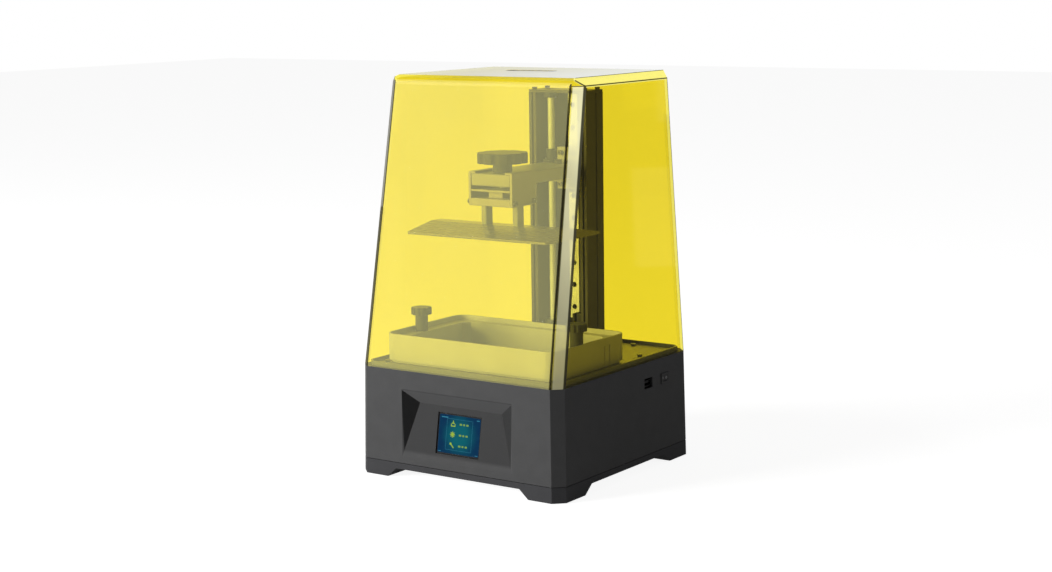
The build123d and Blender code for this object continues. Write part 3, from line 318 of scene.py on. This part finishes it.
class CoverWalls:
    """Depths inside the cover's outer planes, as shader numbers, its left side mirrored."""

    def __init__(self, s):
        self.s = s
        self.low, self.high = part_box("uv_cover")
        self.middle = (self.low + self.high) / 2
        flat = {"X": s.math("ABSOLUTE", s.axis("X")), "Y": s.axis("Y"), "Z": s.axis("Z")}
        self.place = s.add("ShaderNodeCombineXYZ", flat).outputs[0]
        low, high = self.low, self.high
        roof_x = high.x - SIDE_LEAN
        roof_front = low.y + COVER_LEAN
        roof_back = high.y - BACK_LEAN
        cut = Vector((CORNER_X, CORNER_Y, 0))
        back_cut = Vector((CORNER_X, -CORNER_Y, 0))
        along_x, along_y = Vector((1, 0, 0)), Vector((0, 1, 0))
        self.front = self.depth((0, low.y, low.z), (0, roof_front, high.z), along_x)
        self.back = self.depth((0, high.y, low.z), (0, roof_back, high.z), along_x)
        self.side = self.depth((high.x, 0, low.z), (roof_x, 0, high.z), along_y)
        self.corner = self.depth(
            (high.x - CORNER_X, low.y, low.z), (roof_x - CORNER_X, roof_front, high.z), cut
        )
        self.back_corner = self.depth(
            (high.x - CORNER_X, high.y, low.z), (roof_x - CORNER_X, roof_back, high.z), back_cut
        )
        self.slope = self.depth(
            (roof_x, 0, high.z - SLOPE_DOWN), (roof_x - SLOPE_ACROSS, 0, high.z), along_y
        )
        self.top = s.math("SUBTRACT", high.z, s.axis("Z"))

    def depth(self, low_point, high_point, across):
        """How far a place lies inside the plane through two points and the direction across."""
        low = Vector(low_point)
        inward = (Vector(high_point) - low).cross(across).normalized()
        if inward.dot(self.middle - low) < 0:
            inward = -inward
        inputs = {0: self.place, 1: tuple(inward)}
        along = self.s.add("ShaderNodeVectorMath", inputs, operation="DOT_PRODUCT")
        return self.s.math("SUBTRACT", along.outputs["Value"], inward.dot(low))

    def skin(self, depth, thick=SKIN):
        """1 on the outer skin of a wall and 0 deeper inside."""
        return self.s.window(depth, thick, 0.6 * thick)

    def line(self, first, second, width):
        """1 on the outer skins of two walls, within a width of the edge where they meet."""
        return self.s.math("MULTIPLY", self.skin(first, width), self.skin(second, width))


def largest(s, *values):
    """The largest of some shader numbers."""
    result = values[0]
    for value in values[1:]:
        result = s.math("MAXIMUM", result, value)
    return result


def cover_edge_shade(s, walls, below_slope, facing):
    """1 where the cover gets painted shade: along the edges where two of its walls meet, and on skins
    seen edge-on.
    """
    near_slope = s.window(walls.top, SLOPE_DOWN + 1.1 * MM, SLOPE_DOWN + 0.7 * MM)
    facet_line = s.math("MULTIPLY", below_slope, near_slope)
    corner_skin = walls.skin(walls.corner)
    return largest(
        s,
        walls.line(walls.side, walls.corner, 1.6 * MM),
        walls.line(walls.front, walls.corner, 1.1 * MM),
        walls.line(walls.side, walls.slope, 0.7 * MM),
        walls.line(walls.slope, walls.top, 0.6 * MM),
        walls.line(walls.corner, walls.slope, 1.0 * MM),
        walls.line(walls.back, walls.back_corner, 0.8 * MM),
        walls.line(walls.side, walls.back_corner, 0.8 * MM),
        s.math("MULTIPLY", facet_line, corner_skin),
        s.math("MULTIPLY", s.window(facing, 0.72, 0.86), corner_skin),
    )


def grip_wall(s, walls):
    """1 on the low wall round the finger grip, which lies far from the cover's own walls."""
    below_top = s.window(walls.top, 0.05 * MM, 0.15 * MM)
    wall = s.math("MULTIPLY", below_top, s.window(walls.top, 0.97 * MM, 0.9 * MM))
    for depth in (walls.side, walls.front, walls.back):
        wall = s.math("MULTIPLY", wall, s.window(depth, 20 * MM, 21 * MM))
    return wall


def amber_acrylic_painted_light(name):
    """Amber acrylic sheet: clear, hazy on its outer front, corner and top skins, with a painted glow on
    the corner strips, slopes and top, and painted shade along its edges and on the grip wall.
    """
    s = Shader(name)
    walls = CoverWalls(s)
    geometry = s.add("ShaderNodeNewGeometry")
    facing = s.add("ShaderNodeLayerWeight", {"Blend": 0.5}).outputs["Facing"]
    rise = s.window(s.axis("Z"), walls.low.z, walls.high.z)
    across = s.window(s.axis("X"), walls.low.x, walls.high.x)
    below_slope = s.window(walls.top, SLOPE_DOWN - 0.3 * MM, SLOPE_DOWN + 0.3 * MM)

    # where each hazy skin is
    front = s.math("MULTIPLY", walls.skin(walls.front), s.between(s.noise(14, 3), 0.9, 1.1))
    behind_front = s.window(walls.front, 1.2 * MM, 2.0 * MM)
    corner_face = s.math("MULTIPLY", walls.skin(walls.corner), behind_front)
    strip = s.math("MULTIPLY", corner_face, below_slope)
    slope = walls.skin(walls.slope)
    top = s.math("MULTIPLY", walls.skin(walls.top, 0.6 * MM), s.window(facing, 0.6, 0.9))
    grip = grip_wall(s, walls)

    # how much haze each has and its colour, and how much of it is a painted glow standing in for light
    # piped through the sheet; the strip's haze and glow grow towards the top, the top's towards the
    # right, and the top's pale colour is a painted reflection
    patches = s.between(s.noise(24, 2, (1, 1, 0.45)), 0.55, 1.45)
    amount = largest(
        s,
        s.math("MULTIPLY", front, 0.135),
        s.math("MULTIPLY", strip, s.math("MULTIPLY", s.between(rise, 0.38, 0.8), patches)),
        s.math("MULTIPLY", slope, 0.85),
        s.math("MULTIPLY", top, s.between(across, 0.60, 0.92)),
        s.math("MULTIPLY", grip, 0.85),
        LEAST_HAZE,
    )
    colour = s.tint(strip, HAZE_FRONT, STRIP_HAZE_AND_GLOW)
    colour = s.tint(slope, colour, SLOPE_HAZE_AND_GLOW)
    colour = s.tint(top, colour, TOP_HAZE_REFLECTION_GLOW)
    # the grip wall's dark slate is painted shade
    colour = s.tint(grip, colour, GRIP_SHADE_SLATE)
    painted_glow = largest(
        s,
        s.math("MULTIPLY", strip, s.between(rise, 0.25, 0.95)),
        s.math("MULTIPLY", slope, 0.95),
        s.math("MULTIPLY", top, s.between(across, 0.15, 0.55)),
    )
    dull = s.add("ShaderNodeBsdfDiffuse", {"Color": colour}).outputs[0]
    # painted glow: emission on the corner strips, slopes and top, though the sheet is no lamp
    glow = s.add("ShaderNodeEmission", {"Color": colour, "Strength": 1.15}).outputs[0]
    through = s.add("ShaderNodeBsdfTransparent", {"Color": TINT}).outputs[0]
    sheet = s.blend(amount, through, s.blend(painted_glow, dull, glow))

    outside = s.math("SUBTRACT", 1.0, geometry.outputs["Backfacing"])
    # painted shade: a dark layer along the edges and on skins seen edge-on, on outer skins only
    edges = s.math("MULTIPLY", cover_edge_shade(s, walls, below_slope, facing), outside)
    dark = s.add("ShaderNodeBsdfDiffuse", {"Color": EDGE_SHADE}).outputs[0]
    sheet = s.blend(s.math("MULTIPLY", edges, EDGE_SHADE_SHARE), sheet, dark)
    gloss = s.add("ShaderNodeBsdfGlossy", {"Roughness": 0.03}).outputs[0]
    return s.finish(s.blend(s.math("MULTIPLY", s.sheen(1.49), 0.5), sheet, gloss))


def glowing(name, colour, strength):
    """A lit mark under a thin gloss."""
    s = Shader(name)
    glow = s.add("ShaderNodeEmission", {"Color": colour, "Strength": strength}).outputs[0]
    gloss = s.add("ShaderNodeBsdfGlossy", {"Roughness": 0.1}).outputs[0]
    return s.finish(s.blend(0.04, glow, gloss))


def display_picture(name, centre):
    """The lit display: navy at its border and teal towards the middle, with faint panel lines."""
    s = Shader(name)
    away = s.add("ShaderNodeVectorMath", {0: s.place, 1: centre}, operation="DISTANCE").outputs["Value"]
    rim = s.window(away, 6 * MM, 27 * MM)
    cloud = s.between(s.noise(120, 4), -0.25, 0.25)
    factor = s.math("ADD", rim, cloud)
    clamped = s.add("ShaderNodeClamp", {"Value": factor}).outputs[0]
    picture = s.tint(clamped, (0.002, 0.115, 0.145, 1), (0.001, 0.030, 0.085, 1))
    glow = s.add("ShaderNodeEmission", {"Color": picture, "Strength": 1.0}).outputs[0]
    gloss = s.add("ShaderNodeBsdfGlossy", {"Roughness": 0.06}).outputs[0]
    return s.finish(s.blend(0.04, glow, gloss))


# ---- finishes on the CAD pieces --------------------------------------------------------------
ALONG_X = (0.04, 1, 1)
ALONG_Y = (1, 0.04, 1)
ALONG_Z = (1, 1, 0.04)
FACED = (1, 1, 1)

SHELL_GREY = (0.046, 0.046, 0.0465, 1)
TRAY_GREY = (0.034, 0.034, 0.036, 1)
# the display's recess, whose faces get painted shade; it starts a little behind the front, which leans
# in as it rises
RECESS_SHADE_BOX = ((-71 * MM, -128.6 * MM, 20 * MM), (71 * MM, -90 * MM, 98 * MM))

# the base's paint, with painted shade in the display's recess
base_paint_and_recess_shade = powder_coat("base_powder_coat_recess_shade", SHELL_GREY, 0.5, RECESS_SHADE_BOX)
tray_paint = powder_coat("tray_powder_coat", TRAY_GREY, 0.55)
deck_paint = powder_coat("deck_powder_coat", (0.12, 0.12, 0.115, 1), 0.25)
black_plastic = moulded_plastic("black_plastic", grey(0.035))
knob_plastic = moulded_plastic("knob_plastic", grey(0.05), 0.4)
rubber = soft_rubber("foot_rubber", grey(0.025))
dark_screws = machined_metal("zinc_screws", grey(0.28), 0.32, FACED)
bright_steel = machined_metal("ground_steel", grey(0.80), 0.25, ALONG_Z, 0.35)
turned_steel = machined_metal("turned_steel", grey(0.05), 0.35, ALONG_X)
brass = machined_metal("turned_brass", (0.80, 0.58, 0.25, 1), 0.3, FACED)
sink_alloy = machined_metal("extruded_alloy", grey(0.7), 0.35, ALONG_Y)
column_alloy = dark_anodised("column_anodised", grey(0.085, 0.06), ALONG_Z, 0.32)
arm_alloy = machined_metal("arm_alloy", grey(0.42, 0.05), 0.45, ALONG_Y, 0.5)
head_alloy = machined_metal("head_alloy", grey(0.42, 0.08), 0.42, ALONG_X, 0.45)
vat_alloy = blasted_alloy("vat_alloy", grey(0.55, 0.02))
plate_alloy = machined_metal("plate_alloy", grey(0.32, 0.05), 0.25, ALONG_X, 0.6, 0.005)
post_alloy = machined_metal("post_alloy", grey(0.4, 0.02), 0.3, ALONG_Z, 0.6)
green_board = circuit_board("green_board", (0.01, 0.10, 0.04, 1))
white_board = circuit_board("white_board", (0.7, 0.7, 0.66, 1))
clear_glass = clear_part("clear_glass", (0.92, 0.95, 0.94, 1))
clear_lens = clear_part("clear_lens", (0.95, 0.96, 0.97, 1), 0.1, 0.1)
film_sheet = clear_part("film_sheet", (0.93, 0.95, 0.95, 1), 0.12)
display_black = moulded_plastic("display_black", grey(0.012), 0.15)
motor_black = machined_metal("motor_laminations", grey(0.06), 0.45, ALONG_X, 0.5)
cable_sheath = soft_rubber("cable_sheath", grey(0.02))

FINISHES = {
    base_paint_and_recess_shade: ["base_shell"],
    tray_paint: ["bottom_tray"],
    deck_paint: ["deck_plate"],
    rubber: ["rubber_feet"],
    black_plastic: [
        "light_hood", "fan_frame", "fan_rotor", "switch_housing", "power_rocker", "dc_jack",
        "screen_module", "top_bearing", "limit_sensor", "lead_nut",
    ],
    knob_plastic: ["clamp_knob", "thumbscrew_left", "thumbscrew_right"],
    dark_screws: [
        "tray_screws", "deck_screws", "hood_screws", "fan_screws", "motor_screws", "column_screws",
        "rail_screws", "bracket_screws", "arm_screws", "nut_screws", "lock_screws",
        "platform_screws", "film_screws",
    ],
    bright_steel: ["linear_rail", "clamp_screw", "motor_shaft"],
    turned_steel: ["usb_port", "rail_carriage"],
    brass: ["standoffs"],
    sink_alloy: ["heat_sink", "shaft_coupler"],
    column_alloy: ["z_column", "column_cap", "column_foot"],
    arm_alloy: ["z_arm", "z_bracket"],
    head_alloy: ["yoke_plates", "clamp_block"],
    post_alloy: ["platform_posts"],
    plate_alloy: ["build_plate"],
    vat_alloy: ["vat_body", "film_frame"],
    film_sheet: ["release_film"],
    green_board: ["mainboard"],
    white_board: ["led_board"],
    clear_glass: ["lcd_glass"],
    clear_lens: ["lens_array"],
    display_black: ["lcd_panel", "screen_glass"],
    motor_black: ["stepper_motor"],
    cable_sheath: ["wiring"],
}


# widths of the rounded edges of folded, cast and milled pieces
SOFT_EDGES = {
    "base_shell": 0.5 * MM,
    "bottom_tray": 0.6 * MM,
    "deck_plate": 0.3 * MM,
    "vat_body": 0.4 * MM,
    "z_column": 0.3 * MM,
    "column_cap": 0.3 * MM,
    "column_foot": 0.3 * MM,
    "z_arm": 0.4 * MM,
    "yoke_plates": 0.3 * MM,
    "clamp_block": 0.3 * MM,
    "build_plate": 0.3 * MM,
    "platform_posts": 0.4 * MM,
    "z_bracket": 0.4 * MM,
    "rail_carriage": 0.4 * MM,
}


def paint(node, material):
    """Gives a CAD piece one material in place of its own."""
    node.data.materials.clear()
    node.data.materials.append(material)


def soften(node, width, segments=2):
    """Rounds a CAD piece's sharp edges with modifiers."""
    weld = node.modifiers.new("weld", "WELD")
    weld.merge_threshold = 0.002 * MM
    bevel = node.modifiers.new("soft_edges", "BEVEL")
    bevel.width = width
    bevel.segments = segments
    bevel.limit_method = "ANGLE"
    bevel.angle_limit = radians(25)
    bevel.use_clamp_overlap = True


for material, names in FINISHES.items():
    for name in names:
        paint(nodes[name], material)

paint(nodes["uv_cover"], amber_acrylic_painted_light("amber_acrylic_painted_light"))
nodes["uv_cover"].visible_shadow = False
for name, width in SOFT_EDGES.items():
    soften(nodes[name], width)


# ---- display picture ---------------------------------------------------------------------------
GLASS_THICK = 1.0 * MM


def display_plane():
    """The display's front face: a matrix whose X runs right, Y up the slope and Z out."""
    low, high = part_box("screen_glass")
    rise = high.z - low.z
    run = high.y - low.y
    tilt = atan2(run - GLASS_THICK, rise)
    centre = (low + high) / 2
    out = Vector((0, -cos(tilt), sin(tilt)))
    up = Vector((0, sin(tilt), cos(tilt)))
    origin = centre + out * (GLASS_THICK / 2 + 0.02 * MM)
    axes = Matrix((Vector((1, 0, 0)), up, out)).transposed().to_4x4()
    return Matrix.Translation(origin) @ axes


def add_piece(name, shape, material, body):
    """The shape as a piece of its own, riding on a body."""
    mesh = bpy.data.meshes.new(name)
    shape.to_mesh(mesh)
    shape.free()
    mesh.materials.append(material)
    piece = bpy.data.objects.new(name, mesh)
    bpy.context.scene.collection.objects.link(piece)
    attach(piece, body)
    return piece


def flat_piece(name, outlines, plane, thick, material, body="base"):
    """Flat shapes raised off a plane by their thickness, as one piece."""
    shape = bmesh.new()
    for outline in outlines:
        lower = [shape.verts.new((x, y, 0)) for x, y in outline]
        face = shape.faces.new(lower)
        raised = bmesh.ops.extrude_face_region(shape, geom=[face])["geom"]
        moved = [v for v in raised if isinstance(v, bmesh.types.BMVert)]
        bmesh.ops.translate(shape, verts=moved, vec=(0, 0, thick))
    bmesh.ops.recalc_face_normals(shape, faces=shape.faces)
    piece = add_piece(name, shape, material, body)
    piece.data.transform(plane)


def rounded(cx, cy, half_x, half_y, radius, steps=5):
    """A rectangle's outline with round corners."""
    points = []
    for corner, (sx, sy) in enumerate(((1, 1), (-1, 1), (-1, -1), (1, -1))):
        for step in range(steps + 1):
            turn = (corner + step / steps) * pi / 2
            points.append(
                (
                    cx + sx * (half_x - radius) + radius * cos(turn),
                    cy + sy * (half_y - radius) + radius * sin(turn),
                )
            )
    return points


def bar(cx, cy, half_x, half_y):
    return rounded(cx, cy, half_x, half_y, 0.45 * min(half_x, half_y), 2)


def turned_bar(cx, cy, half_x, half_y, angle):
    """A thin bar turned about its middle."""
    c, s = cos(angle), sin(angle)
    corners = ((-half_x, -half_y), (half_x, -half_y), (half_x, half_y), (-half_x, half_y))
    return [(cx + x * c - y * s, cy + x * s + y * c) for x, y in corners]


# the menu on the display: three rows of an icon and a label, in a thin frame
ROW_STEP = 11.4 * MM
ICON_X = -8.5 * MM
LABEL_X = 1.4 * MM
LABEL_STEP = 4.2 * MM
LABEL_SHARES = (1.0, 0.75, 0.9)
FRAME_HALF = 16.5 * MM
LINE_HALF = 0.12 * MM
BORDER = 1.2 * MM


def platform_icon(x, y):
    """A plate on a post over a tray."""
    return [
        bar(x, y + 2.0 * MM, 0.5 * MM, 1.2 * MM),
        bar(x, y + 0.4 * MM, 1.9 * MM, 0.5 * MM),
        bar(x, y - 2.6 * MM, 2.8 * MM, 0.5 * MM),
        bar(x - 2.4 * MM, y - 1.5 * MM, 0.45 * MM, 1.2 * MM),
        bar(x + 2.4 * MM, y - 1.5 * MM, 0.45 * MM, 1.2 * MM),
    ]


def gear_icon(x, y):
    """Eight teeth round a hub."""
    turns = [n * pi / 4 for n in range(8)]
    reach = 2.3 * MM
    teeth = [turned_bar(x + reach * cos(t), y + reach * sin(t), 0.8 * MM, 0.5 * MM, t) for t in turns]
    return teeth + [rounded(x, y, 1.5 * MM, 1.5 * MM, 1.49 * MM, 4)]


def wrench_icon(x, y):
    """A slanting handle with a round end."""
    reach = 1.6 * MM
    head = rounded(x - reach, y + reach, 1.3 * MM, 1.3 * MM, 1.29 * MM, 4)
    return [turned_bar(x + 0.6 * MM, y - 0.6 * MM, 2.6 * MM, 0.55 * MM, -pi / 4), head]


def menu_lines(half_w, half_h):
    """The frame round the menu, and short bars in the display's corners."""
    lines = [bar(-half_w + 8 * MM, half_h - 4 * MM, 4.2 * MM, 0.55 * MM)]
    lines.append(bar(half_w - 4.5 * MM, half_h - 3.6 * MM, 1.8 * MM, 0.5 * MM))
    for side in (-1, 1):
        lines.append(bar(side * (half_w - 4 * MM), -half_h + 2.6 * MM, 1.8 * MM, 0.3 * MM))
        lines.append(bar(side * FRAME_HALF, 0, LINE_HALF, FRAME_HALF - 0.5 * MM))
        lines.append(bar(0, side * (FRAME_HALF - 0.3 * MM), FRAME_HALF, LINE_HALF))
    return lines


def draw_display():
    """The lit picture on the display's glass, and the icons, labels and lines on it."""
    plane = display_plane()
    low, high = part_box("screen_glass")
    half_w = (high.x - low.x) / 2
    half_h = (high.z - low.z) / 2
    whole = rounded(0, 0, half_w - BORDER, half_h - BORDER, 1.5 * MM)
    picture = display_picture("display_picture", tuple(plane.translation))
    flat_piece("display_picture", [whole], plane, 0.05 * MM, picture)

    icons = []
    labels = []
    for row, icon in ((1, platform_icon), (0, gear_icon), (-1, wrench_icon)):
        y = row * ROW_STEP
        icons += icon(ICON_X, y)
        for n, share in enumerate(LABEL_SHARES):
            labels.append(bar(LABEL_X + n * LABEL_STEP, y, 1.6 * share * MM, 0.95 * MM))
    raised = plane @ Matrix.Translation((0, 0, 0.06 * MM))
    icon_green = glowing("display_icons", (0.42, 0.62, 0.06, 1), 0.8)
    label_green = glowing("display_labels", (0.30, 0.50, 0.10, 1), 0.7)
    line_blue = glowing("display_lines", (0.05, 0.30, 0.45, 1), 0.7)
    flat_piece("display_icons", icons, raised, 0.04 * MM, icon_green)
    flat_piece("display_labels", labels, raised, 0.04 * MM, label_green)
    flat_piece("display_lines", menu_lines(half_w, half_h), raised, 0.03 * MM, line_blue)


draw_display()


# ---- marks on the rocker ---------------------------------------------------------------------
RING_RADIUS = 1.1 * MM
STROKE_HALF = 1.2 * MM
RING_PARTS = 12


def facet_of(corners):
    """A flat face's area, centre and outward direction."""
    centre = sum(corners, Vector()) / len(corners)
    across = (corners[1] - corners[0]).cross(corners[2] - corners[0])
    return across.length / 2, centre, across.normalized()


def rocker_plane(half):
    """The outer face of the rocker's front or back half: X runs back, Y up and Z outwards."""
    rocker = nodes["power_rocker"]
    low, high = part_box("power_rocker")
    middle_y = (low.y + high.y) / 2
    places = [rocker.matrix_world @ vertex.co for vertex in rocker.data.vertices]
    facets = [facet_of([places[n] for n in face.vertices]) for face in rocker.data.polygons]
    outer = [f for f in facets if f[2].x > 0.9 and half * (f[1].y - middle_y) > 0]
    out = max(outer, key=lambda facet: facet[0])[2]
    flush = [facet for facet in outer if facet[2].dot(out) > 0.9999]
    covered = sum(area for area, centre, normal in flush)
    centre = sum((centre * area for area, centre, normal in flush), Vector()) / covered
    up = Vector((0, 0, 1))
    axes = Matrix((up.cross(out), up, out)).transposed().to_4x4()
    return Matrix.Translation(centre + out * 0.01 * MM) @ axes


def mark_rocker():
    """A ring on the rocker's back half and a stroke on its front half."""
    white = moulded_plastic("mark_white", grey(0.6), 0.5)
    ring = []
    for n in range(RING_PARTS):
        t = 2 * pi * n / RING_PARTS
        x, y = RING_RADIUS * cos(t), RING_RADIUS * sin(t)
        ring.append(turned_bar(x, y, 0.15 * MM, 0.32 * MM, t))
    stroke = [bar(0, 0, 0.2 * MM, STROKE_HALF)]
    for name, shape, half in (("rocker_ring", ring, 1), ("rocker_stroke", stroke, -1)):
        flat_piece(name, shape, rocker_plane(half), 0.02 * MM, white, "rocker")


mark_rocker()


# ---- lead screw thread ---------------------------------------------------------------------
LEAD = 8 * MM
STARTS = 4
THREAD_DEPTH = 0.9 * MM
ROD_SIDES = 28
RINGS_PER_PITCH = 8


def cut_depth(z, turn, low_z, high_z):
    """How deep the trapezoidal thread is at a place on the rod, plain at both ends."""
    pitch = LEAD / STARTS
    phase = ((z - LEAD * turn / (2 * pi)) / pitch) % 1.0
    flank = min(max(abs(phase - 0.5) * 4 - 0.5, 0.0), 1.0)
    fade = min(1.0, (high_z - z) / pitch, (z - low_z) / pitch)
    return THREAD_DEPTH * (flank * fade + (1 - fade))


def threaded_rod(name, node):
    """A multi-start thread over the length of a plain CAD rod."""
    low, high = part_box(node)
    cx, cy = (low.x + high.x) / 2, (low.y + high.y) / 2
    radius = (high.x - low.x) / 2
    length = high.z - low.z
    step = LEAD / STARTS / RINGS_PER_PITCH
    count = int(length / step)
    shape = bmesh.new()
    rings = []
    for k in range(count + 1):
        z = low.z + length * k / count
        ring = []
        for n in range(ROD_SIDES):
            turn = 2 * pi * n / ROD_SIDES
            r = radius - cut_depth(z, turn, low.z, high.z)
            ring.append(shape.verts.new((cx + r * cos(turn), cy + r * sin(turn), z)))
        rings.append(ring)
    for lower, upper in zip(rings, rings[1:]):
        for n in range(ROD_SIDES):
            m = (n + 1) % ROD_SIDES
            shape.faces.new((lower[n], lower[m], upper[m], upper[n]))
    shape.faces.new(list(reversed(rings[0])))
    shape.faces.new(rings[-1])
    rod = add_piece(name, shape, bright_steel, "spindle")
    for face in rod.data.polygons:
        face.use_smooth = True
    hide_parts(node)


threaded_rod("lead_screw_thread", "lead_screw")


# ---- stage: floor, light and camera ----------------------------------------------------------
FLOOR_REACH = 8.0
# the part of the floor under the base, between the feet, that gets a painted shadow
PAINTED_SHADOW_UNDER_BASE = ((-0.075, -0.075, -0.1), (0.075, 0.075, 0.1))


def plain_floor():
    """A white floor, with a painted shadow under the base, that can't be seen from below."""
    s = Shader("floor_white_painted_shadow")
    lit = s.add("ShaderNodeBsdfDiffuse", {"Color": grey(0.35)}).outputs[0]
    seen = s.add("ShaderNodeLightPath").outputs["Is Camera Ray"]
    # painted shadow: the floor's glow fades out under the base
    shaded = s.inside_box(*PAINTED_SHADOW_UNDER_BASE, 12 * MM)
    open_floor = s.math("SUBTRACT", 1.0, shaded)
    strength = s.math("MULTIPLY", open_floor, s.between(seen, 0.1, 0.9))
    glow = s.add("ShaderNodeEmission", {"Color": WHITE, "Strength": strength})
    above = s.add("ShaderNodeAddShader", {0: lit, 1: glow.outputs[0]}).outputs[0]
    under = s.add("ShaderNodeNewGeometry").outputs["Backfacing"]
    clear = s.add("ShaderNodeBsdfTransparent").outputs[0]
    both = s.blend(under, above, clear)
    mesh = bpy.data.meshes.new("floor")
    reach = FLOOR_REACH
    corners = [(-reach, -reach, 0), (reach, -reach, 0), (reach, reach, 0), (-reach, reach, 0)]
    mesh.from_pydata(corners, [], [(0, 1, 2, 3)])
    mesh.materials.append(s.finish(both))
    floor = bpy.data.objects.new("floor", mesh)
    bpy.context.scene.collection.objects.link(floor)


def softbox(name, place, target, size_x, size_y, power, mirrored):
    """A soft rectangular light, seen only in glossy reflections if mirrored and never if not."""
    light = bpy.data.lights.new(name, "AREA")
    light.shape = "RECTANGLE"
    light.size = size_x
    light.size_y = size_y
    light.energy = power
    lamp = bpy.data.objects.new(name, light)
    lamp.location = place
    aim = Vector(target) - Vector(place)
    lamp.rotation_euler = aim.to_track_quat("-Z", "Y").to_euler()
    lamp.visible_camera = False
    lamp.visible_diffuse = not mirrored
    lamp.visible_glossy = mirrored
    bpy.context.scene.collection.objects.link(lamp)


def white_surround(strength):
    """A white backdrop to the camera, and a softer fill light for everything else."""
    world = bpy.data.worlds.new("surround")
    bpy.context.scene.world = world
    world.use_nodes = True
    tree = world.node_tree
    tree.nodes.clear()
    seen = tree.nodes.new("ShaderNodeLightPath")
    mix = tree.nodes.new("ShaderNodeMix")
    mix.inputs[2].default_value = strength
    mix.inputs[3].default_value = 1.0
    glow = tree.nodes.new("ShaderNodeBackground")
    glow.inputs["Color"].default_value = WHITE
    out = tree.nodes.new("ShaderNodeOutputWorld")
    tree.links.new(seen.outputs["Is Camera Ray"], mix.inputs[0])
    tree.links.new(mix.outputs[0], glow.inputs["Strength"])
    tree.links.new(glow.outputs[0], out.inputs["Surface"])


plain_floor()
white_surround(0.13)
softbox("key_softbox", (-1.75, -2.5, 0.75), (0, 0, 0.25), 1.6, 1.3, 185, mirrored=False)
softbox("right_softbox", (2.9, 0.9, 0.9), (0, 0, 0.3), 1.0, 1.0, 9, mirrored=False)
softbox("back_card", (-1.45, 2.1, 0.75), (0, 0, 0.35), 3.0, 1.4, 14, mirrored=True)
softbox("metal_card", (-2.3, -1.9, 1.9), (0, 0, 0.25), 1.6, 1.0, 14, mirrored=True)
softbox("low_card", (0.85, 1.33, 0.12), (0.1, 0, 0.25), 0.16, 0.18, 0.04, mirrored=True)
softbox("high_card", (0.9, 1.55, 0.36), (0.1, 0, 0.35), 0.2, 0.16, 0.04, mirrored=True)

AZIMUTH = radians(34.98)
ELEVATION = radians(9.10)
ROLL = radians(-0.81)
RANGE = 2.098
AIM = Vector((0.0013, 0.0, 0.1958))


def place_camera():
    """A long lens in front of the object's right corner, a little above it."""
    data = bpy.data.cameras.new("camera")
    data.lens = 66.5
    data.sensor_width = 36.0
    camera = bpy.data.objects.new("camera", data)
    level = cos(ELEVATION)
    towards = Vector((sin(AZIMUTH) * level, -cos(AZIMUTH) * level, sin(ELEVATION)))
    camera.location = AIM + towards * RANGE
    turn = (-towards).to_track_quat("-Z", "Y").to_matrix().to_4x4()
    camera.rotation_euler = (turn @ Matrix.Rotation(ROLL, 4, "Z")).to_euler()
    bpy.context.scene.collection.objects.link(camera)
    bpy.context.scene.camera = camera


place_camera()
bpy.context.scene.view_settings.view_transform = "Standard"
